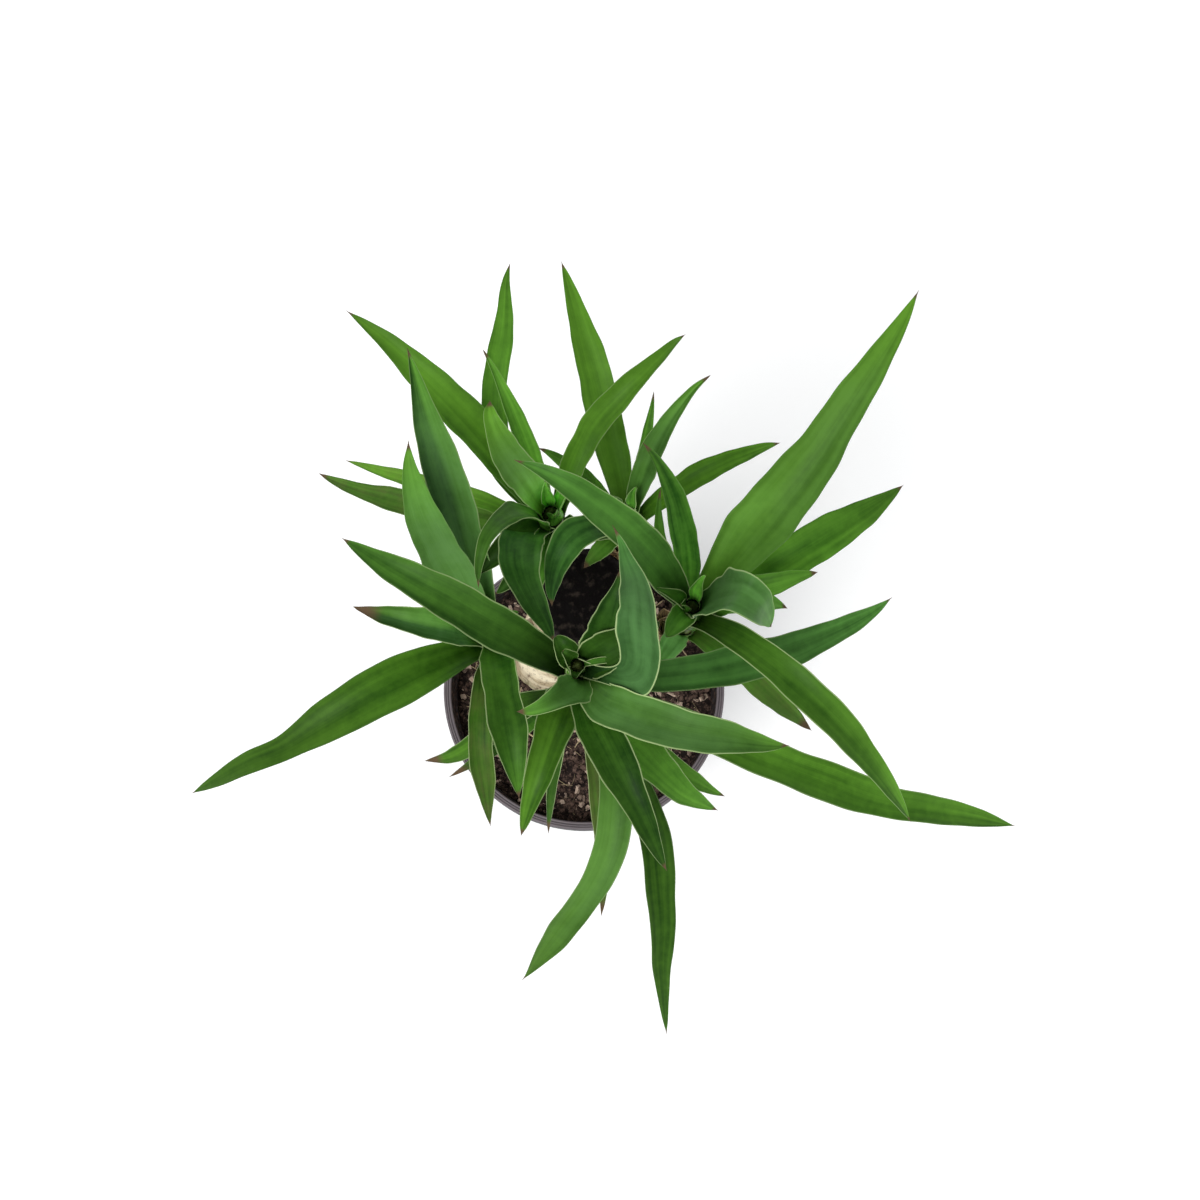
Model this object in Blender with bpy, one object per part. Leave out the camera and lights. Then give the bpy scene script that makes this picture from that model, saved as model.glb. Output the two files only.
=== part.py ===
"""Potted yucca cane: a leaning cane with a waxed top, five leafy shoots, peat and a nursery pot.

Run with  blender --background --python part.py  or from Blender's text editor.
The origin is the middle of the pot's underside, with +Z up. Sizes below are millimetres and are
turned into metres where a mesh is made.
"""

from math import asin, atan2, cos, pi, radians, sin

import bmesh
import bpy
import numpy as np
from mathutils import Matrix, Vector

MM = 0.001
SEAT_GAP = 0.3  # clearance between pieces that touch

# Nursery pot
POT_HEIGHT = 150.0
RIM_RADIUS = 85.0
RIM_COLLAR_HEIGHT = 16.5
LIP_WIDTH = 4.8
BODY_TOP_RADIUS = 81.2
BODY_FOOT_RADIUS = 62.0
WALL = 1.8
FLOOR_UNDERSIDE = 3.0
FLOOR_TOP = 4.8
CENTRE_PAD_RADIUS = 14.0
DRAIN_HOLES = 8
DRAIN_HOLE_RADIUS = 5.0
DRAIN_CIRCLE_RADIUS = 44.0
FOOT_NOTCHES = 8
FOOT_NOTCH_WIDTH = 11.0
FOOT_NOTCH_HEIGHT = 2.2
TURNED_SIDES = 48

# Peat
SOIL_LEVEL = 128.0
SOIL_LUMP_HEIGHT = 1.0

# Cane: its middle line from the buried foot to the cut top
CANE_FOOT = Vector((-28.0, 26.0, 60.0))
CANE_AT_SOIL = Vector((-21.0, 24.0, SOIL_LEVEL))
CANE_TOP = Vector((3.0, 17.0, 349.0))
CANE_SIDES = 28
CANE_RINGS = 24
CANE_TOP_RADIUS = 22.4
CANE_SOIL_RADIUS = 24.6
CANE_FOOT_RADIUS = 23.0
LEAF_SCAR_SPACING = 13.0
LEAF_SCAR_HEIGHT = 0.5
BARK_OVAL = 0.5
BARK_LOBES = 0.35

# Wax on the cut
WAX_THICKNESS = 1.2
WAX_SKIRT = 9.0
WAX_SKIRT_WAVE = 2.5

# Shoots
SHOOT_SIDES = 14
SHOOT_RINGS = 16
SHOOT_FOOT_RADIUS = 7.6
SHOOT_NECK_RADIUS = 6.2
SHOOT_CROWN_RADIUS = 2.2
FOOT_GAP = 0.6

# Leaves
LEAF_RINGS = 12
LEAF_THICKNESS = 1.1
LEAF_BASE_WIDTH = 0.5
LEAF_CHANNEL = 0.15
LEAF_SEAT = 0.8
FULL_WIDTH_AT = 0.38
TAPER_FROM = 0.45
TAPER_POWER = 1.8
TIP_THINNING = 0.6
BASE_TURN_POWER = 3
FIRST_HANDLE = 0.25  # shares of reach and rise, arch and bow at the two handles of a leaf's curve
SECOND_HANDLE = 0.70
FIRST_ARCH = 1.6
SECOND_ARCH = 1.07
SECOND_BOW = 1.6
STEM_SAMPLES = 60

# name: crown point, height at which it leaves the cane, how far it first grows outwards
SHOOTS = {
    "front": ((0, -32, 450), 310, 23),
    "right": ((50, -3, 435), 316, 24),
    "back": ((-13, 48, 400), 304, 19),
    "left": ((-43, -2, 365), 288, 22),
    "rear": ((23, 47, 400), 322, 18),
}

# For each shoot its leaves from the crown down. A leaf is
# (drop below the crown, bearing from +X, reach, rise of the tip, arch of its middle above a straight
#  line, sideways bow to the left, width, depth of its channel against the usual one)
LEAVES = {
    "front": [
        (6, 72, 36, 116, 20, -22, 16, 1.0),
        (10, -138, 31, 48, 23, 6, 15, 1.4),
        (14, -21, 91, 26, 31, -10, 17, 1.0),
        (18, 68, 34, 50, 20, -3, 16, 1.3),
        (22, -66, 89, 22, 31, -4, 16, 1.0),
        (26, 152, 107, 40, 25, 3, 19, 1.0),
        (30, 16, 144, -22, 17, -13, 17, 1.0),
        (34, -108, 70, 30, 32, 0, 16, 1.4),
        (38, -101, 131, -26, 50, 20, 14, 1.0),
        (45, -42, 80, -8, 26, -5, 14, 1.2),
        (49, -16, 215, -66, 29, -11, 18, 1.0),
        (54, -76, 160, -66, 36, 9, 14, 1.0),
        (59, -35, 79, -29, 15, -5, 11, 1.0),
        (64, -85, 100, -41, 22, 4, 9, 1.0),
        (69, -102, 62, -41, 14, -2, 5, 1.0),
        (74, -159, 77, -56, 6, 1, 10, 1.0),
        (79, -152, 69, -53, 4, 3, 7, 1.0),
    ],
    "right": [
        (6, -30, 31, 47, 60, 0, 20, 1.0),
        (11, 149, 83, 82, 33, -2, 18, 1.0),
        (16, 53, 147, 77, 22, -5, 20, 1.0),
        (21, -43, 130, -16, 44, 2, 15, 1.0),
        (29, 14, 51, 33, 19, -1, 13, 1.0),
        (33, 110, 63, 60, 12, -6, 12, 1.2),
        (36, 31, 108, 21, 21, -4, 18, 1.0),
        (41, 101, 48, 38, 6, 4, 6, 1.0),
        (46, -125, 21, 7, 13, 1, 9, 1.0),
        (51, -37, 72, -22, 19, -2, 12, 1.0),
        (56, 8, 44, 6, 16, 3, 9, 1.0),
    ],
    "back": [
        (6, 125, 36, 76, 31, 5, 14, 1.0),
        (11, -115, 55, 89, 50, -8, 13, 1.0),
        (16, 48, 86, 64, 41, 2, 13, 1.4),
        (21, -86, 61, 35, 29, -9, 19, 1.0),
        (26, 116, 60, 78, 20, -1, 11, 1.8),
        (31, 112, 28, 30, 14, 0, 7, 1.2),
        (36, 137, 123, 56, 17, -3, 17, 0.8),
        (42, 98, 119, 34, 18, 12, 13, 1.0),
        (48, 160, 102, 0, 16, 1, 9, 1.0),
        (54, 164, 116, -8, 16, 7, 13, 1.0),
    ],
    "left": [
        (6, 113, 67, 106, 25, 6, 19, 1.0),
        (11, 106, 99, 128, 16, -1, 18, 1.8),
        (17, -79, 78, 40, 31, 0, 18, 1.0),
        (23, 169, 61, 24, 28, 4, 16, 1.6),
        (29, -154, 162, -18, 43, 6, 21, 0.8),
        (35, -90, 85, -2, 29, -4, 11, 1.0),
    ],
    "rear": [
        (6, 52, 53, 68, 21, 3, 12, 1.5),
        (11, -126, 52, 9, 25, -8, 14, 1.0),
        (16, 78, 44, 48, 15, -1, 6, 1.0),
        (22, 25, 72, 24, 22, 0, 11, 1.0),
        (28, 105, 118, 36, 13, -1, 17, 1.0),
        (34, -137, 23, 2, 8, 0, 7, 1.0),
        (40, 140, 51, 16, 10, -2, 9, 1.0),
    ],
}


def clear_scene():
    """Remove every object so that the script can be run again."""
    for thing in list(bpy.data.objects):
        bpy.data.objects.remove(thing, do_unlink=True)


def plain_material(name, colour, roughness):
    """A Principled material of one colour (linear RGB)."""
    material = bpy.data.materials.new(name)
    material.use_nodes = True
    shader = material.node_tree.nodes["Principled BSDF"]
    shader.inputs["Base Color"].default_value = (*colour, 1.0)
    shader.inputs["Roughness"].default_value = roughness
    shader.inputs["Metallic"].default_value = 0.0
    material.diffuse_color = (*colour, 1.0)
    return material


def add_piece(name, points, faces, material, smooth=True):
    """Make one closed object from points in millimetres."""
    mesh = bpy.data.meshes.new(name)
    mesh.from_pydata([Vector(point) * MM for point in points], [], faces)
    shell = bmesh.new()
    shell.from_mesh(mesh)
    bmesh.ops.recalc_face_normals(shell, faces=shell.faces)
    shell.to_mesh(mesh)
    shell.free()
    mesh.materials.append(material)
    if smooth:
        mesh.shade_smooth()
        mesh.set_sharp_from_angle(angle=radians(35))
    piece = bpy.data.objects.new(name, mesh)
    bpy.context.scene.collection.objects.link(piece)
    return piece


def ring_faces(ring_count, sides):
    """Quads between successive rings of points."""
    faces = []
    for ring in range(ring_count - 1):
        here = ring * sides
        there = here + sides
        for side in range(sides):
            after = (side + 1) % sides
            faces.append((here + side, here + after, there + after, there + side))
    return faces


def capped(points, sides):
    """Quads up a stack of rings with a flat face at each end."""
    rings = len(points) // sides
    faces = ring_faces(rings, sides)
    faces.append(tuple(reversed(range(sides))))
    faces.append(tuple(range((rings - 1) * sides, rings * sides)))
    return faces


def turned(profile):
    """Rings of points of a profile of (radius, height) turned about Z."""
    points = []
    for radius, height in profile:
        for side in range(TURNED_SIDES):
            angle = 2 * pi * side / TURNED_SIDES
            points.append((radius * cos(angle), radius * sin(angle), height))
    return points


def subtract(target, cutter):
    """Cut one hidden object out of another."""
    cutter.hide_render = True
    cutter.display_type = "WIRE"
    cut = target.modifiers.new(cutter.name, "BOOLEAN")
    cut.operation = "DIFFERENCE"
    cut.object = cutter


def bezier(start, lead_out, lead_in, end, t):
    """Point at t on a cubic curve."""
    u = 1 - t
    return start * u**3 + lead_out * 3 * u * u * t + lead_in * 3 * u * t * t + end * t**3


def even_points(curve, count, samples=80):
    """Points at even distances along curve(t), from t = 0 to 1."""
    fine = [curve(step / samples) for step in range(samples + 1)]
    travelled = [0.0]
    for before, after in zip(fine, fine[1:]):
        travelled.append(travelled[-1] + (after - before).length)
    wanted = np.linspace(0, travelled[-1], count)
    columns = [np.interp(wanted, travelled, [point[axis] for point in fine]) for axis in range(3)]
    return [Vector(values) for values in zip(*columns)]


# Pot ---------------------------------------------------------------------------------------------

def inner_wall_radius(height):
    """Radius of the pot's inner wall below the rim."""
    share = (height - FLOOR_TOP) / (POT_HEIGHT - RIM_COLLAR_HEIGHT - FLOOR_TOP)
    foot = BODY_FOOT_RADIUS - WALL
    return foot + (BODY_TOP_RADIUS - WALL - foot) * share


def make_pot(material):
    """A thin tapered pot with a collared rim, a stepped lip, a foot ring, a pad and drain holes."""
    collar_foot = POT_HEIGHT - RIM_COLLAR_HEIGHT
    lip_inside = RIM_RADIUS - LIP_WIDTH
    profile = [
        (BODY_FOOT_RADIUS - WALL, FLOOR_TOP),
        (BODY_TOP_RADIUS - WALL, collar_foot),
        (lip_inside, collar_foot + 1.5),
        (lip_inside, POT_HEIGHT - 1.0),
        (lip_inside + 0.8, POT_HEIGHT),
        (lip_inside + 1.8, POT_HEIGHT),
        (lip_inside + 2.1, POT_HEIGHT - 0.5),
        (RIM_RADIUS - 1.9, POT_HEIGHT - 0.5),
        (RIM_RADIUS - 1.6, POT_HEIGHT),
        (RIM_RADIUS - 0.7, POT_HEIGHT),
        (RIM_RADIUS, POT_HEIGHT - 0.8),
        (RIM_RADIUS, collar_foot),
        (RIM_RADIUS - 1.4, collar_foot - 0.6),
        (BODY_TOP_RADIUS, collar_foot - 0.2),
        (BODY_FOOT_RADIUS, 1.0),
        (BODY_FOOT_RADIUS - 0.8, 0.0),
        (BODY_FOOT_RADIUS - 3.0, 0.0),
        (BODY_FOOT_RADIUS - 4.0, FLOOR_UNDERSIDE),
        (CENTRE_PAD_RADIUS + 1.0, FLOOR_UNDERSIDE),
        (CENTRE_PAD_RADIUS, 0.0),
    ]
    points = turned(profile)
    pot = add_piece("pot", points, capped(points, TURNED_SIDES), material)

    holes = bmesh.new()
    for hole in range(DRAIN_HOLES):
        angle = 2 * pi * (hole + 0.5) / DRAIN_HOLES
        place = Matrix.Translation(
            Vector((cos(angle) * DRAIN_CIRCLE_RADIUS, sin(angle) * DRAIN_CIRCLE_RADIUS, FLOOR_TOP - 1)) * MM
        )
        bmesh.ops.create_cone(
            holes,
            cap_ends=True,
            segments=16,
            radius1=DRAIN_HOLE_RADIUS * MM,
            radius2=DRAIN_HOLE_RADIUS * MM,
            depth=8 * MM,
            matrix=place,
        )
    for notch in range(FOOT_NOTCHES):
        angle = 2 * pi * notch / FOOT_NOTCHES
        size = Matrix.Diagonal((10 * MM, FOOT_NOTCH_WIDTH * MM, 2 * FOOT_NOTCH_HEIGHT * MM, 1))
        place = Matrix.Rotation(angle, 4, "Z") @ Matrix.Translation(((BODY_FOOT_RADIUS - 2) * MM, 0, 0))
        bmesh.ops.create_cube(holes, size=1, matrix=place @ size)
    mesh = bpy.data.meshes.new("pot_cuts")
    holes.to_mesh(mesh)
    holes.free()
    cutter = bpy.data.objects.new("pot_cuts", mesh)
    bpy.context.scene.collection.objects.link(cutter)
    subtract(pot, cutter)


# Cane and peat -----------------------------------------------------------------------------------

def cane_middle(height):
    """Point of the cane's middle line at a height."""
    if height < SOIL_LEVEL:
        low, high = CANE_FOOT, CANE_AT_SOIL
    else:
        low, high = CANE_AT_SOIL, CANE_TOP
    return low.lerp(high, (height - low.z) / (high.z - low.z))


def cane_radius(height):
    """Mean radius of the cane at a height."""
    known = (CANE_FOOT.z, SOIL_LEVEL, SOIL_LEVEL + 25, CANE_TOP.z)
    radii = (CANE_FOOT_RADIUS, CANE_SOIL_RADIUS, CANE_TOP_RADIUS + 0.9, CANE_TOP_RADIUS)
    return float(np.interp(height, known, radii))


def bark_radius(height, angle):
    """Radius of the bark, which is a little out of round and ridged by old leaf scars."""
    ridge = LEAF_SCAR_HEIGHT * max(0.0, cos(2 * pi * height / LEAF_SCAR_SPACING))
    knobs = BARK_OVAL * sin(2 * angle + height / 31) + BARK_LOBES * sin(3 * angle - height / 17)
    return cane_radius(height) + ridge + knobs


def cane_rings(extra=0.0, end_extra=0.0):
    """Rings of points up the cane, swollen by extra and lengthened at the foot."""
    points = []
    for height in np.linspace(CANE_FOOT.z - end_extra, CANE_TOP.z, CANE_RINGS):
        middle = cane_middle(height)
        for side in range(CANE_SIDES):
            angle = 2 * pi * side / CANE_SIDES
            radius = bark_radius(height, angle) + extra
            points.append((middle.x + radius * cos(angle), middle.y + radius * sin(angle), height))
    return points


def make_cane(material):
    """The bare woody cane, from its foot in the peat to the cut."""
    points = cane_rings()
    add_piece("cane", points, capped(points, CANE_SIDES), material)


def make_wax_cap(material):
    """Sealing wax: a thin lid on the cut with an uneven skirt down the bark."""
    lid_underside = CANE_TOP.z + SEAT_GAP
    rings = []
    for is_outside, is_lid in ((False, True), (False, False), (True, False), (True, True)):
        for side in range(CANE_SIDES):
            angle = 2 * pi * side / CANE_SIDES
            skirt = WAX_SKIRT + WAX_SKIRT_WAVE * sin(3 * angle + 1) * cos(2 * angle)
            radius = bark_radius(CANE_TOP.z, angle) + LEAF_SCAR_HEIGHT + SEAT_GAP
            height = lid_underside if is_lid else CANE_TOP.z - skirt
            if is_outside:
                radius += WAX_THICKNESS
                height += WAX_THICKNESS if is_lid else 0
            middle = cane_middle(min(height, CANE_TOP.z))
            rings.append((middle.x + radius * cos(angle), middle.y + radius * sin(angle), height))
    add_piece("wax_cap", rings, capped(rings, CANE_SIDES), material)


def make_soil(material):
    """The peat: it fills the pot and has a pocket that the cane stands in."""
    rng = np.random.default_rng(17)
    side_heights = (FLOOR_TOP + SEAT_GAP, SOIL_LEVEL)
    wall_radii = [inner_wall_radius(height) - SEAT_GAP for height in side_heights]
    rings = [(wall_radii[0], side_heights[0]), (wall_radii[1], side_heights[1] - 1.0)]
    for share in (0.8, 0.55, 0.3):
        rings.append((wall_radii[1] * share, SOIL_LEVEL))
    points = []
    for row, (radius, level) in enumerate(rings):
        lumps = rng.uniform(-SOIL_LUMP_HEIGHT, SOIL_LUMP_HEIGHT, TURNED_SIDES)
        for side in range(TURNED_SIDES):
            angle = 2 * pi * side / TURNED_SIDES
            height = level + (lumps[side] if row > 0 else 0.0)
            points.append((radius * cos(angle), radius * sin(angle), height))
    faces = capped(points, TURNED_SIDES)
    soil = add_piece("soil", points, faces, material, smooth=False)
    pocket_points = cane_rings(extra=SEAT_GAP, end_extra=SEAT_GAP)
    pocket = add_piece("cane_pocket", pocket_points, capped(pocket_points, CANE_SIDES), material)
    subtract(soil, pocket)


# Shoots and leaves -------------------------------------------------------------------------------

def shoot_curve(name):
    """Middle line of a shoot, out of the cane's side and then up to its crown, and its way out."""
    crown, height, outwards = SHOOTS[name]
    crown = Vector(crown)
    heart = cane_middle(height)
    away = Vector((crown.x - heart.x, crown.y - heart.y, 0)).normalized()
    start = heart + away * foot_distance(height, atan2(away.y, away.x))
    lead_out = start + away * outwards + Vector((0, 0, 5))
    lead_in = crown - Vector((0, 0, (crown.z - height) * 0.55))
    return away, lambda t: bezier(start, lead_out, lead_in, crown, t)


def foot_distance(height, angle):
    """How far from the cane's middle line a shoot's flat foot sits, just clear of the bark."""
    farthest = 0.0
    across_foot = np.linspace(-SHOOT_FOOT_RADIUS, SHOOT_FOOT_RADIUS, 9)
    for above in across_foot:
        level = height + above
        lean = cane_middle(level) - cane_middle(height)
        for aside in across_foot:
            turn = asin(aside / cane_radius(level))
            depth = bark_radius(level, angle + turn) * cos(turn)
            farthest = max(farthest, depth + lean.x * cos(angle) + lean.y * sin(angle))
    return farthest + FOOT_GAP


def shoot_radius(share):
    """Radius of a shoot at a share of its length, from the cane to the crown."""
    known = (0.0, 0.12, 0.45, 0.85, 1.0)
    radii = (SHOOT_FOOT_RADIUS, 6.8, SHOOT_NECK_RADIUS, 4.8, SHOOT_CROWN_RADIUS)
    return float(np.interp(share, known, radii))


def make_shoot(name, material):
    """A green stem with a flat foot against the cane and a blunt crown."""
    away, curve = shoot_curve(name)
    middle = even_points(curve, SHOOT_RINGS)
    sideways = away.cross(Vector((0, 0, 1)))
    points = []
    for ring, centre in enumerate(middle):
        ahead = middle[min(ring + 1, SHOOT_RINGS - 1)]
        along = away if ring == 0 else (ahead - middle[ring - 1]).normalized()
        up = sideways.cross(along).normalized()
        radius = shoot_radius(ring / (SHOOT_RINGS - 1))
        for side in range(SHOOT_SIDES):
            angle = 2 * pi * side / SHOOT_SIDES
            points.append(centre + (sideways * cos(angle) + up * sin(angle)) * radius)
    add_piece(f"shoot_{name}", points, capped(points, SHOOT_SIDES), material)


def blade_width(share):
    """Width of a leaf at a share of its length, as a share of its full width."""
    widening = LEAF_BASE_WIDTH + (1 - LEAF_BASE_WIDTH) * sin(min(share / FULL_WIDTH_AT, 1) * pi / 2)
    taper = 1 - max(0.0, (share - TAPER_FROM) / (1 - TAPER_FROM)) ** TAPER_POWER
    return widening * taper


def leaf_middle(shoot, leaf):
    """Points down the middle of a leaf, and the ways its base and its blade turn to the left."""
    drop, bearing, reach, rise, arch, bow = leaf[:6]
    _, curve = shoot_curve(shoot)
    stem = even_points(curve, STEM_SAMPLES + 1)
    length = sum((after - before).length for before, after in zip(stem, stem[1:]))
    share = 1 - drop / length
    outwards = Vector((cos(radians(bearing)), sin(radians(bearing)), 0))
    up = Vector((0, 0, 1))
    left = up.cross(outwards)
    lead = outwards * (FIRST_HANDLE * reach) + left * bow
    base_left = up.cross(lead.normalized())
    start = stem[round(share * STEM_SAMPLES)] + lead.normalized() * (shoot_radius(share) + LEAF_SEAT)
    lead_out = start + lead + up * (FIRST_HANDLE * rise + FIRST_ARCH * arch)
    lead_in = start + outwards * (SECOND_HANDLE * reach) + left * (SECOND_BOW * bow)
    lead_in += up * (SECOND_HANDLE * rise + SECOND_ARCH * arch)
    end = start + outwards * reach + up * rise
    middle = even_points(lambda t: bezier(start, lead_out, lead_in, end, t), LEAF_RINGS + 1)
    return middle, base_left, left


def leaf_rings(shoot, leaf):
    """Rings of four points down a leaf (left edge, midrib, right edge, keel) and its tip."""
    middle, base_left, blade_left = leaf_middle(shoot, leaf)
    width, channel = leaf[6:]
    rings = []
    for ring in range(LEAF_RINGS):
        place = ring / LEAF_RINGS
        centre = middle[ring]
        along = (middle[ring + 1] - middle[max(ring - 1, 0)]).normalized()
        left = blade_left.lerp(base_left, (1 - place) ** BASE_TURN_POWER)
        left = (left - along * left.dot(along)).normalized()
        above = along.cross(left)
        half = width * blade_width(place) / 2
        edge_lift = above * (2 * half * LEAF_CHANNEL * channel)
        keel = above * (LEAF_THICKNESS * (1 - TIP_THINNING * place))
        rings += [centre + left * half + edge_lift, centre, centre - left * half + edge_lift, centre - keel]
    return rings, middle[-1]


def leaf_faces():
    """Triangles between the rings of a leaf, split from its edges so that its two sides never cross."""
    faces = []
    for left in range(0, 4 * (LEAF_RINGS - 1), 4):
        for edge, middle in ((left, left + 1), (left, left + 3), (left + 2, left + 1), (left + 2, left + 3)):
            pair = [(edge, middle, middle + 4), (edge, middle + 4, edge + 4)]
            if (edge == left) == (middle == left + 3):
                pair = [face[::-1] for face in pair]
            faces += pair
    return faces


def make_leaf(name, shoot, leaf, material):
    """One sword-shaped leaf as a thin closed solid."""
    points, tip = leaf_rings(shoot, leaf)
    faces = leaf_faces()
    faces.append((3, 2, 1, 0))
    last = len(points) - 4
    points.append(tip)
    for side in range(4):
        faces.append((last + side, last + (side + 1) % 4, len(points) - 1))
    add_piece(name, points, faces, material)


def main():
    """Model the whole plant."""
    clear_scene()
    make_pot(plain_material("pot_plastic", (0.020, 0.020, 0.022), 0.45))
    make_soil(plain_material("peat", (0.035, 0.022, 0.015), 0.95))
    make_cane(plain_material("cane_bark", (0.42, 0.33, 0.20), 0.85))
    make_wax_cap(plain_material("sealing_wax", (0.012, 0.010, 0.011), 0.35))
    stem_green = plain_material("stem_green", (0.16, 0.25, 0.06), 0.5)
    leaf_green = plain_material("leaf_green", (0.045, 0.17, 0.025), 0.4)
    for shoot, leaves in LEAVES.items():
        make_shoot(shoot, stem_green)
        for number, leaf in enumerate(leaves, start=1):
            make_leaf(f"leaf_{shoot}_{number:02d}", shoot, leaf, leaf_green)


main()
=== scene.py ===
"""Looks of the potted yucca cane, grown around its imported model.

Run as a script it loads the model as a frame, models every visible piece over it, gives each its
finish and sets the stage. The origin is the middle of the pot's underside, with +Z up. Lengths are
metres, and MM turns millimetres into them.
"""

from contextlib import contextmanager
from itertools import combinations
from math import cos, pi, radians, sin

import bmesh
import bpy
import numpy as np
from bpy.props import FloatProperty, FloatVectorProperty, IntProperty, PointerProperty
from mathutils import Matrix, Vector, noise


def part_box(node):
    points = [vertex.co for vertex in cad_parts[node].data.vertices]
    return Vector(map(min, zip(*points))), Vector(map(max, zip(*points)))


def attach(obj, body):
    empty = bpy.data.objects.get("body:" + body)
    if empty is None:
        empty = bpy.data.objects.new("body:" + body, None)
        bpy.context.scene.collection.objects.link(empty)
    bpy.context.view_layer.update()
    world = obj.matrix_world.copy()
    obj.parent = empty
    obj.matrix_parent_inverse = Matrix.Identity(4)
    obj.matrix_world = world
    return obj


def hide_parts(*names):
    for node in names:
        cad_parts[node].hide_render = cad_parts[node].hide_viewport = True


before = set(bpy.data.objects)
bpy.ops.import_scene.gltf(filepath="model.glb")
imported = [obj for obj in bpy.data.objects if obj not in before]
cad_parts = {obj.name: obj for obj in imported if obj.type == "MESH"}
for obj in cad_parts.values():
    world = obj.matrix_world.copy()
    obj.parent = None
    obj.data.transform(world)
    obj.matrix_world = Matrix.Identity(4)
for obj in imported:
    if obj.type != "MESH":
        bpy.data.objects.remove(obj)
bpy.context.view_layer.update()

bl_info = {
    "name": "Potted yucca cane",
    "version": (1, 0, 0),
    "blender": (4, 5, 0),
    "location": "View3D > Sidebar > Yucca",
    "description": "Grows the leaves, shoots, bark, wax, peat and pot of a yucca cane over its model",
    "category": "Add Mesh",
}

MM = 0.001
WELD = 0.01 * MM

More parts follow.
